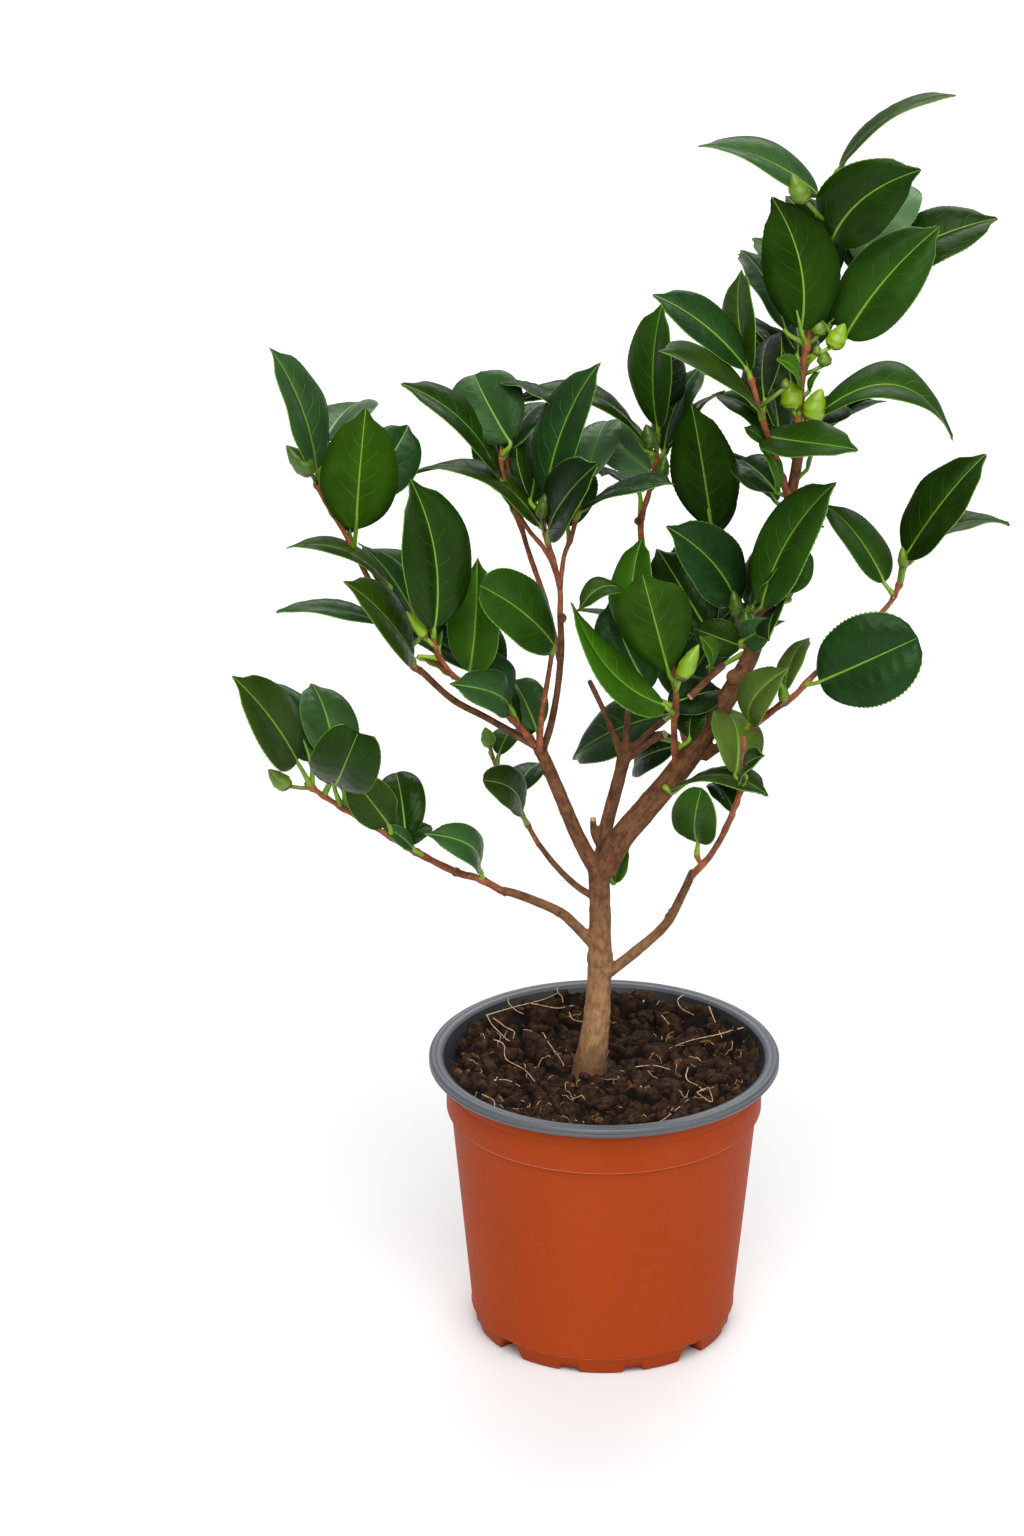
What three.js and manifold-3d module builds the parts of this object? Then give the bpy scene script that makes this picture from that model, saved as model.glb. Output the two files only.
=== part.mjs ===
// A camellia shrub in its nursery pot, half a metre tall, in millimetres with +Z up.
// The origin is the centre of the pot's flat underside, and the viewer looks along +Y and a little down.
// Every limb, leaf and bud is placed by where it shows to that viewer and by how far back it lies.

import * as THREE from 'three';
import { mergeVertices } from 'three/addons/utils/BufferGeometryUtils.js';
import Module from 'manifold-3d';

const wasm = await Module();
wasm.setup();

// Driving sizes
const POT = { height: 114.6, rim: 68.1, lip: 63, neck: 61.7, shoulder: 59.6, foot: 51.4, lug: 6.5, wall: 1.3 };
const BAND = { top: 110.2, low: 92.2 };
const SOIL = { radius: 57.9, top: 107, flat: 18, lump: 1.6 };
const GAP = 0.3;
const SIDES = 28;
const GRID = 0.005;
const LEAF = { long: 49, slim: 0.52, thick: 0.8, fold: 0.16, stalk: 0.95, join: 5, sunk: 0.4 };

// The viewer: a long lens, looking down at the crown from the front. Pixels are those of the picture.
const VIEW = { focal: 5760, middle: [512, 768], down: THREE.MathUtils.degToRad(22.8), away: 2193 };
const AIM = new THREE.Vector3(-35.8, 0, 234.4);
const AHEAD = new THREE.Vector3(0, Math.cos(VIEW.down), -Math.sin(VIEW.down));
const UP = new THREE.Vector3(0, Math.sin(VIEW.down), Math.cos(VIEW.down));
const RIGHT = new THREE.Vector3(1, 0, 0);
const EYE = AIM.clone().addScaledVector(AHEAD, -VIEW.away);

// The point that shows at a pixel and lies this many millimetres behind the pot's axis.
function seen(across, down, depth) {
  const ray = AHEAD.clone()
    .addScaledVector(RIGHT, (across - VIEW.middle[0]) / VIEW.focal)
    .addScaledVector(UP, (VIEW.middle[1] - down) / VIEW.focal);
  return EYE.clone().addScaledVector(ray, (depth - EYE.y) / ray.y);
}

// The pixel where a point shows.
function shownAt(point) {
  const from = point.clone().sub(EYE);
  const far = from.dot(AHEAD);
  const scale = VIEW.focal / far;
  return [VIEW.middle[0] + scale * from.dot(RIGHT), VIEW.middle[1] - scale * from.dot(UP)];
}

// Solids

function solidOf(geometry) {
  const bare = geometry.clone();
  bare.deleteAttribute('normal');
  bare.deleteAttribute('uv');
  const merged = mergeVertices(bare, 1e-4);
  return new wasm.Manifold(new wasm.Mesh({
    numProp: 3,
    vertProperties: new Float32Array(merged.attributes.position.array),
    triVerts: new Uint32Array(merged.index.array),
  }));
}

// A solid's surface with its corners on a fine grid, so that none nearly meet.
function geometryOf(solid) {
  const { vertProperties, triVerts } = solid.getMesh();
  const snapped = Float32Array.from(vertProperties, (value) => Math.round(value / GRID) * GRID);
  const loose = new THREE.BufferGeometry();
  loose.setAttribute('position', new THREE.BufferAttribute(snapped, 3));
  loose.setIndex(new THREE.BufferAttribute(new Uint32Array(triVerts), 1));
  const geometry = mergeVertices(loose, GRID / 10);
  const corners = Array.from(geometry.index.array);
  const whole = corners.filter((_, i) => {
    const [a, b, c] = corners.slice(i - (i % 3), i - (i % 3) + 3);
    return a !== b && b !== c && a !== c;
  });
  geometry.setIndex(whole);
  return geometry;
}

// The largest piece of a solid, without the scraps that a cut leaves.
function largest(solid) {
  const pieces = solid.decompose();
  return pieces.reduce((best, piece) => (piece.volume() > best.volume() ? piece : best));
}

// Whether a surface is closed, with two faces at every edge.
function isSound(geometry) {
  const corners = geometry.index.array;
  const edges = new Map();
  for (let i = 0; i < corners.length; i += 3) {
    for (let j = 0; j < 3; j += 1) {
      const [a, b] = [corners[i + j], corners[i + ((j + 1) % 3)]];
      const key = a < b ? `${a} ${b}` : `${b} ${a}`;
      edges.set(key, (edges.get(key) ?? 0) + 1);
    }
  }
  return [...edges.values()].every((count) => count === 2);
}

// A joined solid without its slivers, by the first tolerance that leaves it sound.
function tidied(solid) {
  for (const tolerance of [0.06, 0.05, 0.04, 0.03, 0.02, 0.01]) {
    const simple = largest(solid.simplify(tolerance));
    if (isSound(geometryOf(simple))) return simple;
  }
  return largest(solid);
}

// A closed skin through rings of points, each ring anticlockwise as seen from ahead of it.
// A ring of one point closes that end to a tip.
function loft(rings) {
  const points = rings.flat();
  const faces = [];
  const starts = [];
  let count = 0;
  for (const ring of rings) {
    starts.push(count);
    count += ring.length;
  }
  for (let i = 0; i + 1 < rings.length; i += 1) {
    const sides = Math.max(rings[i].length, rings[i + 1].length);
    for (let j = 0; j < sides; j += 1) {
      const k = (j + 1) % sides;
      const [low, high] = [starts[i], starts[i + 1]];
      if (rings[i + 1].length === 1) {
        faces.push(low + j, low + k, high);
      } else if (rings[i].length === 1) {
        faces.push(low, high + k, high + j);
      } else {
        faces.push(low + j, low + k, high + k, low + j, high + k, high + j);
      }
    }
  }
  const last = rings.length - 1;
  for (let j = 1; j + 1 < rings[0].length; j += 1) {
    faces.push(starts[0], starts[0] + j + 1, starts[0] + j);
  }
  for (let j = 1; j + 1 < rings[last].length; j += 1) {
    faces.push(starts[last], starts[last] + j, starts[last] + j + 1);
  }
  const geometry = new THREE.BufferGeometry();
  geometry.setAttribute('position', new THREE.Float32BufferAttribute(points.flatMap((p) => p.toArray()), 3));
  geometry.setIndex(faces);
  return solidOf(geometry);
}

// Limbs

function curveOf(route) {
  return new THREE.CatmullRomCurve3(route.map((at) => seen(...at)), false, 'catmullrom', 0.5);
}

// The value of a list of sizes at a share of its length.
function sizeAt(sizes, share) {
  const at = Math.min(share * (sizes.length - 1), sizes.length - 1.0001);
  const low = Math.floor(at);
  return THREE.MathUtils.lerp(sizes[low], sizes[low + 1], at - low);
}

// A limb that tapers along its route; grow is how much fatter and longer its cutting copy is.
function limb({ route, wide, sides = 7, step = 13, flare = 0 }, grow = 0) {
  const curve = curveOf(route);
  const steps = Math.max(2, Math.round(curve.getLength() / step));
  const frames = curve.computeFrenetFrames(steps, false);
  const rings = [];
  for (let i = 0; i <= steps; i += 1) {
    const share = i / steps;
    const middle = curve.getPointAt(share);
    const ends = i === 0 ? -grow : i === steps ? grow : 0;
    middle.addScaledVector(frames.tangents[i], ends);
    const radius = sizeAt(wide, curve.getUtoTmapping(share)) / 2 + grow;
    const ring = [];
    for (let j = 0; j < sides; j += 1) {
      const turn = (2 * Math.PI * j) / sides;
      const swell = 1 + flare * Math.max(0, 1 - share * 6) * (1 + Math.cos(3 * turn + 1));
      ring.push(middle.clone()
        .addScaledVector(frames.normals[i], radius * swell * Math.cos(turn))
        .addScaledVector(frames.binormals[i], radius * swell * Math.sin(turn)));
    }
    rings.push(ring);
  }
  return loft(rings);
}

function boxSolid(size, middle) {
  return solidOf(new THREE.BoxGeometry(...size).translate(...middle));
}

// Leaves

const OUTLINE = [[0, 0.12], [0.26, 0.86], [0.62, 0.86], [1, 0]];
const FRONT = -1;
const BACK = 1;

// Where a leaf's blade lies: from its foot to its tip, with the way its upper side faces.
// A blade that shows short is taken to point toward the viewer or away by what its length lacks.
function blade(leaf, footDepth, shift) {
  const foot = seen(...leaf.foot, footDepth);
  const flat = seen(...leaf.tip, footDepth);
  const long = leaf.long ?? LEAF.long;
  const shows = foot.distanceTo(flat);
  const hides = Math.sqrt(Math.max(0, long * long - shows * shows)) * (leaf.lies ?? 0);
  const tip = seen(...leaf.tip, footDepth + hides * 0.8 + shift);
  const along = tip.clone().sub(foot);
  const reach = along.length();
  along.normalize();
  const toViewer = EYE.clone().sub(foot).normalize();
  const level = along.clone().cross(toViewer).normalize();
  const facing = level.clone().cross(along).normalize();
  const scale = VIEW.focal / EYE.distanceTo(foot);
  const shown = leaf.wide / scale;
  const wide = Math.max(shown, LEAF.slim * Math.max(long * 0.9, reach));
  let turn = Math.acos(Math.min(1, shown / wide));
  if (leaf.face === 'under') turn = Math.PI - turn;
  if (level.z < 0 !== (leaf.flip ?? false)) turn = -turn;
  const upper = facing.multiplyScalar(Math.cos(turn)).addScaledVector(level, Math.sin(turn));
  return { foot, along, reach, wide, upper: upper.normalize(), bow: leaf.bow ?? 3 };
}

// The blade's midrib at a share of its reach, and the half width there.
function midrib({ foot, along, reach, upper, bow }, share) {
  return foot.clone().addScaledVector(along, reach * share).addScaledVector(upper, bow * 4 * share * (1 - share));
}

// Four points round a leaf: its edges, raised by the fold, and the two faces of its midrib.
function leafRing(middle, side, upper, half, thick) {
  const lift = half * LEAF.fold;
  return [
    middle.clone().addScaledVector(side, half).addScaledVector(upper, lift),
    middle.clone().addScaledVector(upper, -thick),
    middle.clone().addScaledVector(side, -half).addScaledVector(upper, lift),
    middle.clone().addScaledVector(upper, thick),
  ];
}

// A blade folded along its midrib, with its edges raised. grow fattens it for a test of its room.
// With a root it also has its stalk, which turns smoothly from the twig to the blade.
function leafSolid(lie, grow, root) {
  const { along, upper } = lie;
  const side = along.clone().cross(upper).normalize();
  const thick = LEAF.thick / 2 + grow;
  const rings = OUTLINE.map(([share, width]) => {
    const middle = midrib(lie, share);
    if (width === 0) return [middle.addScaledVector(along, grow)];
    return leafRing(middle, side, upper, (lie.wide / 2) * width + grow, thick);
  });
  if (root) {
    const away = lie.foot.clone().sub(root).normalize();
    const half = away.clone().add(along).normalize();
    const bend = (at, way, size) => {
      const turn = new THREE.Quaternion().setFromUnitVectors(along, way);
      return leafRing(at, side.clone().applyQuaternion(turn), upper.clone().applyQuaternion(turn), size, size * 0.85);
    };
    const sunk = root.clone().addScaledVector(away, -LEAF.sunk);
    rings.splice(0, 1, bend(sunk, away, LEAF.stalk), bend(lie.foot, half, LEAF.stalk * 1.15));
  }
  return loft(rings);
}

// A three-sided stalk from one point to just past another.
function stalkSolid(from, to, thick) {
  const along = to.clone().sub(from);
  const over = along.clone().multiplyScalar(1.6 / along.length());
  const across = along.clone().cross(Math.abs(along.y) > Math.abs(along.z) ? UP : AHEAD).normalize();
  const other = along.clone().cross(across).normalize();
  const ring = (at, size) => [0, 1, 2].map((j) => at.clone()
    .addScaledVector(across, size * Math.cos((2 * Math.PI * j) / 3))
    .addScaledVector(other, size * Math.sin((2 * Math.PI * j) / 3)));
  return loft([ring(from, thick), ring(to.clone().add(over), thick * 0.85)]);
}

// A bud: a pointed egg of five sides.
function budSolid(foot, tip, wide) {
  const along = tip.clone().sub(foot);
  const across = along.clone().cross(AHEAD).normalize();
  const other = along.clone().cross(across).normalize();
  const ring = (share, size) => [0, 1, 2, 3, 4].map((j) => foot.clone()
    .addScaledVector(along, share)
    .addScaledVector(across, (size * wide * Math.cos((2 * Math.PI * j) / 5)) / 2)
    .addScaledVector(other, (size * wide * Math.sin((2 * Math.PI * j) / 5)) / 2));
  return loft([ring(-0.12, 0.45), ring(0.22, 0.95), ring(0.6, 0.85), [tip]]);
}

// The pot

// A profile of radius and height, turned about the upright axis. One that is off the axis is closed.
function turned(profile, sides) {
  const points = profile.map(([radius, height]) => new THREE.Vector2(radius, height));
  if (profile[0][0] > 0) points.push(points[0]);
  return solidOf(new THREE.LatheGeometry(points, sides).rotateX(Math.PI / 2));
}

function potBody() {
  const { neck, shoulder, foot, lug, wall } = POT;
  const shell = turned([
    [0, lug - 2.5], [42, lug - 2.5], [44.5, lug], [foot, lug], [foot + 0.3, lug + 1.6], [shoulder, BAND.low],
    [neck - 0.4, BAND.low + 0.8], [neck, BAND.top], [neck - 1.1, BAND.top], [shoulder - wall, BAND.low - 1],
    [foot - wall, lug + 2.2], [0, lug + 2.2],
  ], SIDES);
  const pad = turned([[0, 0], [16, 0], [18, lug], [0, lug]], SIDES / 2);
  let ring = turned([[43, 0], [49.4, 0], [foot - 0.6, lug + 0.8], [43, lug + 0.8]], SIDES);
  for (const quarter of [0, 1, 2, 3]) {
    const slot = boxSolid([14, 13, 5], [48, 0, 2]);
    ring = ring.subtract(slot.rotate([0, 0, 43 + 90 * quarter]));
    for (const notch of [-16, 13]) {
      const cut = boxSolid([14, 7, 2.4], [48, 0, 0.9]);
      ring = ring.subtract(cut.rotate([0, 0, notch + 90 * quarter]));
    }
  }
  return largest(shell.add(pad).add(ring));
}

// The grey lining shows as the rolled lip and the dark inside wall above the soil.
function potRim() {
  const { height, rim, lip, neck } = POT;
  const under = BAND.top + GAP + 0.1;
  const low = SOIL.top - 1;
  return turned([
    [neck - 2.35, low], [neck - 1.5, BAND.top], [neck - 1.4, under], [rim - 1.2, under], [rim, under + 1], [rim, height - 1.2],
    [rim - 1.4, height], [lip + 0.6, height], [lip - 0.8, height - 1.4], [neck - 2.3, under - 0.6], [neck - 3.4, low],
  ], SIDES);
}

// The root ball fills the pot, and its top is lumpy except where the trunk stands.
function soilBall() {
  const { radius, top, flat, lump } = SOIL;
  const { foot, lug, wall } = POT;
  const low = lug + 2.2 + GAP;
  const geometry = new THREE.LatheGeometry([
    [0, low], [foot - wall - 0.6, low], [radius - 1.2, BAND.low - 3], [radius, top - 1.5],
    [radius - 5, top], [44, top], [31, top], [flat, top], [0, top],
  ].map(([r, z]) => new THREE.Vector2(r, z)), 30);
  const place = geometry.attributes.position;
  for (let i = 0; i < place.count; i += 1) {
    const [x, y, z] = [place.getX(i), place.getY(i), place.getZ(i)];
    const ring = Math.hypot(x, z);
    if (y >= top - 0.01 && ring > flat + 1) {
      place.setY(i, y + lump * Math.sin(0.31 * x + 1) * Math.cos(0.27 * z + 0.05 * x));
    }
  }
  return solidOf(geometry.rotateX(Math.PI / 2));
}

// Trunk and boughs. A route lists the pixels that a limb passes and its depth; wide is its thickness.

const LIMBS = {
  trunk: {
    route: [[588, 1082, 0], [594, 1040, 0], [598, 1000, 0], [600, 955, 0], [600, 905, 0], [599, 874, 0], [600, 856, 0]],
    wide: [14.2, 11.4, 9.8, 9.2, 8.1, 8.8, 8.6], sides: 12, step: 9, flare: 0.16,
  },
  leader: {
    route: [[604, 872, 0], [619, 841, -1], [651, 803, -2], [690, 755, -3], [724, 703, -3], [751, 655, -3],
      [765, 609, -1], [783, 559, 0], [791, 498, 0], [797, 462, 0], [799, 428, 0]],
    wide: [9, 9.8, 9.4, 9, 7.8, 6.6, 4.9, 4.5, 4.3, 4.2, 3.9], sides: 9, step: 16,
    spurs: [{ route: [[724, 664, -4], [708, 679, -8], [689, 698, -11]], wide: [3.2, 2.8, 3], step: 8, sides: 5 }],
  },
  left_bough: {
    route: [[596, 870, 0], [579, 839, -1], [567, 812, -2], [556, 785, -3], [546, 762, -4], [539, 748, -5]],
    wide: [6.2, 5.8, 5.4, 5.2, 5, 5.2],
  },
  middle_bough: {
    route: [[600, 866, 2], [607, 824, 5], [615, 793, 8], [621, 770, 10], [625, 752, 12]],
    wide: [5.8, 5.4, 5.2, 5.1, 5.6],
    spurs: [
      { route: [[622, 757, 11], [607, 718, 16], [589, 680, 20]], wide: [3, 2.4, 2.2], sides: 5 },
      { route: [[624, 757, 11], [644, 737, 14], [666, 719, 17]], wide: [3.2, 2.6, 2.4], sides: 5 },
      { route: [[624, 761, 11], [650, 742, 8], [666, 733, 5]], wide: [3.2, 2.8, 3.4], sides: 5 },
      { route: [[600, 846, 3], [594, 833, 4], [593, 817, 4]], wide: [3.2, 2.8, 2.4], sides: 5, step: 6 },
    ],
  },
  left_low_bough: {
    route: [[541, 749, -5], [518, 736, -7], [487, 718, -10], [452, 699, -15], [418, 668, -21]],
    wide: [3.4, 3.1, 2.8, 2.7, 2.6],
  },
  inner_bough: {
    route: [[543, 750, -3], [551, 724, 1], [558, 686, 6], [561, 645, 12], [560, 612, 17]],
    wide: [3.2, 2.9, 2.7, 2.9, 2.4],
  },
  upper_bough: {
    route: [[626, 749, 13], [628, 711, 18], [632, 650, 29], [640, 585, 38], [642, 545, 42]],
    wide: [3.2, 2.7, 2.5, 2.4, 2.6],
  },
  right_bough: {
    route: [[703, 757, -4], [722, 745, -7], [740, 735, -10]],
    wide: [4.2, 3.6, 3.2], step: 8,
  },
  lower_right_bough: {
    route: [[604, 976, -1], [635, 952, -7], [665, 925, -13], [682, 895, -18], [693, 871, -22]],
    wide: [4.6, 4.2, 3.8, 3.4, 3.2],
  },
  lower_left_bough: {
    route: [[600, 951, 0], [575, 925, -3], [558, 911, -6], [522, 896, -11], [502, 890, -14]],
    wide: [4.6, 4.2, 3.9, 3.5, 3.2],
  },
  low_twig: {
    route: [[600, 900, 1], [578, 887, 5], [556, 866, 11], [537, 842, 19]],
    wide: [3.2, 2.8, 2.5, 2.2],
  },
};

// The masses of foliage: their twigs, the leaves and buds that show, and how many more lie behind.
// foot and tip are the pixels where a blade starts and ends, and wide is how wide it shows in pixels.

const MASSES = {
  crown: {
    twigs: [
      { route: [[799, 434, 0], [799, 410, 0], [801, 380, 1], [809, 333, 2], [819, 290, 4], [827, 245, 5], [839, 171, 3]],
        wide: [3.8, 3.5, 3.1, 2.4, 2.1, 1.9, 1.7] },
      { route: [[811, 325, 2], [842, 293, 9], [878, 269, 15]], wide: [1.9, 1.7, 1.5] },
    ],
    leaves: [
      { foot: [839, 169], tip: [955, 93], wide: 14, bow: 9 },
      { foot: [814, 193], tip: [700, 148], wide: 38, bow: 6, lies: FRONT },
      { foot: [828, 243], tip: [921, 170], wide: 60, lies: FRONT },
      { foot: [801, 330], tip: [771, 195], wide: 77, face: 'under', lies: FRONT, bow: -3 },
      { foot: [846, 335], tip: [940, 226], wide: 65, lies: FRONT },
      { foot: [880, 268], tip: [998, 218], wide: 55, lies: BACK },
      { foot: [850, 270], tip: [913, 185], wide: 45, lies: BACK },
      { foot: [785, 330], tip: [741, 249], wide: 35, lies: BACK },
      { foot: [790, 365], tip: [788, 292], wide: 32, lies: BACK },
      { foot: [820, 414], tip: [955, 430], wide: 38, bow: 16 },
      { foot: [818, 424], tip: [849, 406], wide: 30, lies: BACK, long: 26 },
      { foot: [799, 386], tip: [777, 359], wide: 14, lies: FRONT, long: 22 },
    ],
    buds: [
      { foot: [803, 204], tip: [795, 172], wide: 6 }, { foot: [831, 349], tip: [845, 323], wide: 7.4 },
      { foot: [792, 410], tip: [790, 380], wide: 8.6 }, { foot: [812, 422], tip: [822, 388], wide: 8.8 },
    ],
    more: 5, seed: 11,
  },
  crown_left: {
    twigs: [{ route: [[791, 503, 0], [784, 484, -3], [775, 457, -7], [765, 427, -11], [756, 396, -12], [749, 372, -11]],
      wide: [3.4, 3, 2.6, 2.3, 2, 1.7] }],
    leaves: [
      { foot: [745, 368], tip: [653, 294], wide: 40 },
      { foot: [750, 372], tip: [740, 269], wide: 35, lies: BACK, flip: true },
      { foot: [757, 408], tip: [660, 348], wide: 25, bow: 9, lies: FRONT },
      { foot: [765, 400], tip: [771, 333], wide: 38, lies: BACK },
      { foot: [778, 431], tip: [752, 346], wide: 32, lies: BACK },
      { foot: [784, 466], tip: [855, 450], wide: 45, bow: 13, lies: FRONT },
      { foot: [776, 492], tip: [736, 458], wide: 40, lies: BACK, long: 36 },
      { foot: [762, 449], tip: [777, 494], wide: 12, lies: FRONT, long: 20 },
    ],
    more: 3, seed: 23,
  },
  upper_middle: {
    twigs: [
      { route: [[642, 550, 42], [641, 519, 44], [649, 493, 45], [655, 465, 45], [658, 438, 45], [661, 410, 45]],
        wide: [2.6, 2.5, 2.2, 2, 1.9, 1.6] },
      { route: [[641, 532, 43], [672, 540, 34], [704, 528, 26]], wide: [1.8, 1.6, 1.4] },
    ],
    leaves: [
      { foot: [658, 427], tip: [662, 303], wide: 43, lies: FRONT },
      { foot: [645, 450], tip: [506, 405], wide: 18, bow: 13, lies: FRONT },
      { foot: [665, 450], tip: [703, 363], wide: 33, lies: BACK },
      { foot: [665, 455], tip: [724, 390], wide: 14, lies: BACK },
      { foot: [664, 405], tip: [661, 330], wide: 30, lies: BACK },
      { foot: [706, 525], tip: [689, 403], wide: 65, face: 'under', bow: -3 },
      { foot: [650, 472], tip: [606, 425], wide: 50, lies: BACK, long: 40 },
      { foot: [640, 505], tip: [600, 470], wide: 34, lies: BACK, long: 40 },
    ],
    buds: [{ foot: [650, 449], tip: [646, 424], wide: 7 }, { foot: [661, 479], tip: [666, 456], wide: 5.4 }],
    more: 4, seed: 31,
  },
  centre_left: {
    twigs: [
      { route: [[560, 617, 16], [560, 590, 20], [553, 565, 22], [543, 547, 24], [528, 529, 27], [511, 500, 30],
        [502, 470, 32], [501, 446, 34]], wide: [2.3, 2.2, 2, 1.9, 1.8, 1.7, 1.6, 1.4] },
      { route: [[560, 588, 20], [554, 560, 20], [545, 530, 19], [545, 480, 22], [552, 436, 26]],
        wide: [2, 1.8, 1.7, 1.6, 1.4] },
      { route: [[560, 590, 20], [564, 557, 23], [572, 535, 27], [579, 505, 32], [589, 478, 36]],
        wide: [2, 1.9, 1.8, 1.6, 1.5] },
    ],
    leaves: [
      { foot: [500, 480], tip: [401, 383], wide: 30, bow: 6 },
      { foot: [500, 440], tip: [462, 375], wide: 50, lies: BACK },
      { foot: [558, 412], tip: [500, 382], wide: 14, lies: BACK, long: 40 },
      { foot: [508, 450], tip: [545, 400], wide: 32, lies: BACK, long: 40 },
      { foot: [530, 500], tip: [530, 418], wide: 40, lies: BACK },
      { foot: [546, 496], tip: [597, 361], wide: 48, lies: FRONT },
      { foot: [553, 532], tip: [592, 463], wide: 40, lies: BACK },
      { foot: [540, 527], tip: [402, 476], wide: 22, bow: 12 },
      { foot: [565, 475], tip: [572, 420], wide: 30, lies: BACK, long: 36 },
      { foot: [590, 475], tip: [640, 415], wide: 50, lies: BACK, long: 40 },
      { foot: [583, 510], tip: [674, 481], wide: 20, bow: 8, lies: FRONT },
    ],
    buds: [{ foot: [540, 518], tip: [548, 491], wide: 5.8 }],
    more: 3, seed: 43,
  },
  upper_left: {
    twigs: [{ route: [[422, 673, -20], [409, 661, -21], [395, 630, -19], [369, 580, -15], [347, 537, -11], [333, 514, -9],
      [322, 496, -8], [314, 478, -7]], wide: [2.5, 2.4, 2.3, 2.1, 2, 1.9, 1.8, 1.6] }],
    leaves: [
      { foot: [316, 470], tip: [271, 347], wide: 42 },
      { foot: [356, 530], tip: [366, 406], wide: 78, face: 'under', lies: FRONT, bow: -3 },
      { foot: [345, 495], tip: [398, 419], wide: 62, lies: BACK },
      { foot: [318, 452], tip: [366, 410], wide: 45, lies: BACK },
      { foot: [385, 625], tip: [276, 609], wide: 20, bow: 12 },
      { foot: [388, 585], tip: [287, 544], wide: 17, bow: 6 },
      { foot: [413, 658], tip: [347, 580], wide: 38, lies: FRONT },
      { foot: [420, 632], tip: [359, 541], wide: 30, lies: BACK },
    ],
    buds: [{ foot: [313, 475], tip: [286, 445], wide: 6.6 }],
    more: 4, seed: 59,
  },
  left_middle: {
    twigs: [{ route: [[537, 748, -6], [515, 722, -14], [480, 695, -26], [452, 674, -34], [437, 652, -39], [432, 628, -40]],
      wide: [2.8, 2.5, 2.3, 2.1, 2, 1.7] }],
    leaves: [
      { foot: [434, 629], tip: [411, 479], wide: 71, lies: FRONT },
      { foot: [470, 672], tip: [475, 558], wide: 55, lies: FRONT },
      { foot: [512, 712], tip: [452, 704], wide: 45, bow: 6, lies: FRONT, long: 34 },
      { foot: [508, 706], tip: [470, 650], wide: 40, lies: FRONT, long: 38 },
      { foot: [528, 735], tip: [508, 680], wide: 25, lies: BACK, long: 34 },
    ],
    buds: [{ foot: [427, 640], tip: [406, 611], wide: 4.2 }],
    more: 3, seed: 61,
  },
  inner_left: {
    twigs: [{ route: [[539, 752, -8], [542, 714, -11], [548, 678, -14], [554, 640, -16]], wide: [2.4, 2.2, 2, 1.6] }],
    leaves: [
      { foot: [553, 645], tip: [480, 585], wide: 58, lies: FRONT },
      { foot: [537, 730], tip: [512, 678], wide: 45, lies: BACK, long: 34 },
    ],
    more: 1, seed: 67,
  },
  low_left: {
    twigs: [{ route: [[506, 893, -13], [480, 879, -18], [456, 872, -22], [416, 852, -28], [381, 831, -33], [333, 802, -39],
      [305, 783, -42]], wide: [3.1, 2.8, 2.9, 2.4, 2.2, 2, 1.8] }],
    leaves: [
      { foot: [297, 762], tip: [235, 676], wide: 55, lies: FRONT },
      { foot: [310, 762], tip: [262, 680], wide: 50, lies: BACK },
      { foot: [335, 765], tip: [312, 682], wide: 55, lies: BACK },
      { foot: [338, 785], tip: [358, 729], wide: 68, lies: FRONT, long: 36, bow: 6 },
      { foot: [385, 826], tip: [352, 783], wide: 42, lies: FRONT, long: 34 },
      { foot: [408, 845], tip: [395, 775], wide: 50, lies: FRONT, long: 38 },
      { foot: [342, 788], tip: [308, 748], wide: 35, lies: BACK, long: 34 },
      { foot: [478, 866], tip: [427, 848], wide: 30, bow: 8, lies: FRONT, long: 30 },
      { foot: [405, 846], tip: [432, 826], wide: 20, lies: BACK, long: 18 },
    ],
    buds: [{ foot: [290, 788], tip: [268, 769], wide: 6.8 }],
    more: 3, seed: 71,
  },
  low_middle: {
    twigs: [{ route: [[539, 845, 18], [525, 820, 25], [502, 776, 34], [489, 751, 38]], wide: [2.1, 1.9, 1.7, 1.5] }],
    leaves: [
      { foot: [523, 813], tip: [492, 777], wide: 45, lies: FRONT, long: 30 },
      { foot: [515, 795], tip: [542, 762], wide: 30, lies: BACK, long: 34 },
      { foot: [499, 755], tip: [515, 728], wide: 25, lies: BACK, long: 24 },
    ],
    buds: [{ foot: [490, 747], tip: [485, 727], wide: 6 }],
    more: 2, seed: 73,
  },
  middle: {
    twigs: [{ route: [[676, 766, -4], [674, 726, -14], [676, 692, -23], [668, 650, -20], [652, 610, -14]],
      wide: [2.9, 2.6, 2.4, 2, 1.6] }],
    leaves: [
      { foot: [669, 674], tip: [642, 573], wide: 76, face: 'under', lies: FRONT, bow: -3 },
      { foot: [665, 706], tip: [573, 600], wide: 40, lies: FRONT },
      { foot: [645, 640], tip: [640, 537], wide: 38, lies: BACK },
      { foot: [640, 590], tip: [579, 611], wide: 22, bow: 8, long: 30 },
      { foot: [663, 700], tip: [605, 600], wide: 45, lies: BACK },
      { foot: [668, 705], tip: [722, 690], wide: 40, lies: BACK, long: 34 },
      { foot: [672, 714], tip: [569, 757], wide: 50, lies: BACK },
      { foot: [674, 735], tip: [632, 766], wide: 35, lies: BACK, long: 32 },
      { foot: [690, 738], tip: [700, 702], wide: 30, lies: BACK, long: 28 },
    ],
    buds: [{ foot: [679, 681], tip: [699, 644], wide: 8.2 }],
    more: 3, seed: 79,
  },
  centre_right: {
    twigs: [{ route: [[752, 658, -1], [741, 632, 6], [737, 603, 13], [727, 576, 22]], wide: [2.6, 2.2, 1.9, 1.6] }],
    leaves: [
      { foot: [709, 633], tip: [657, 547], wide: 60, lies: BACK },
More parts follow.
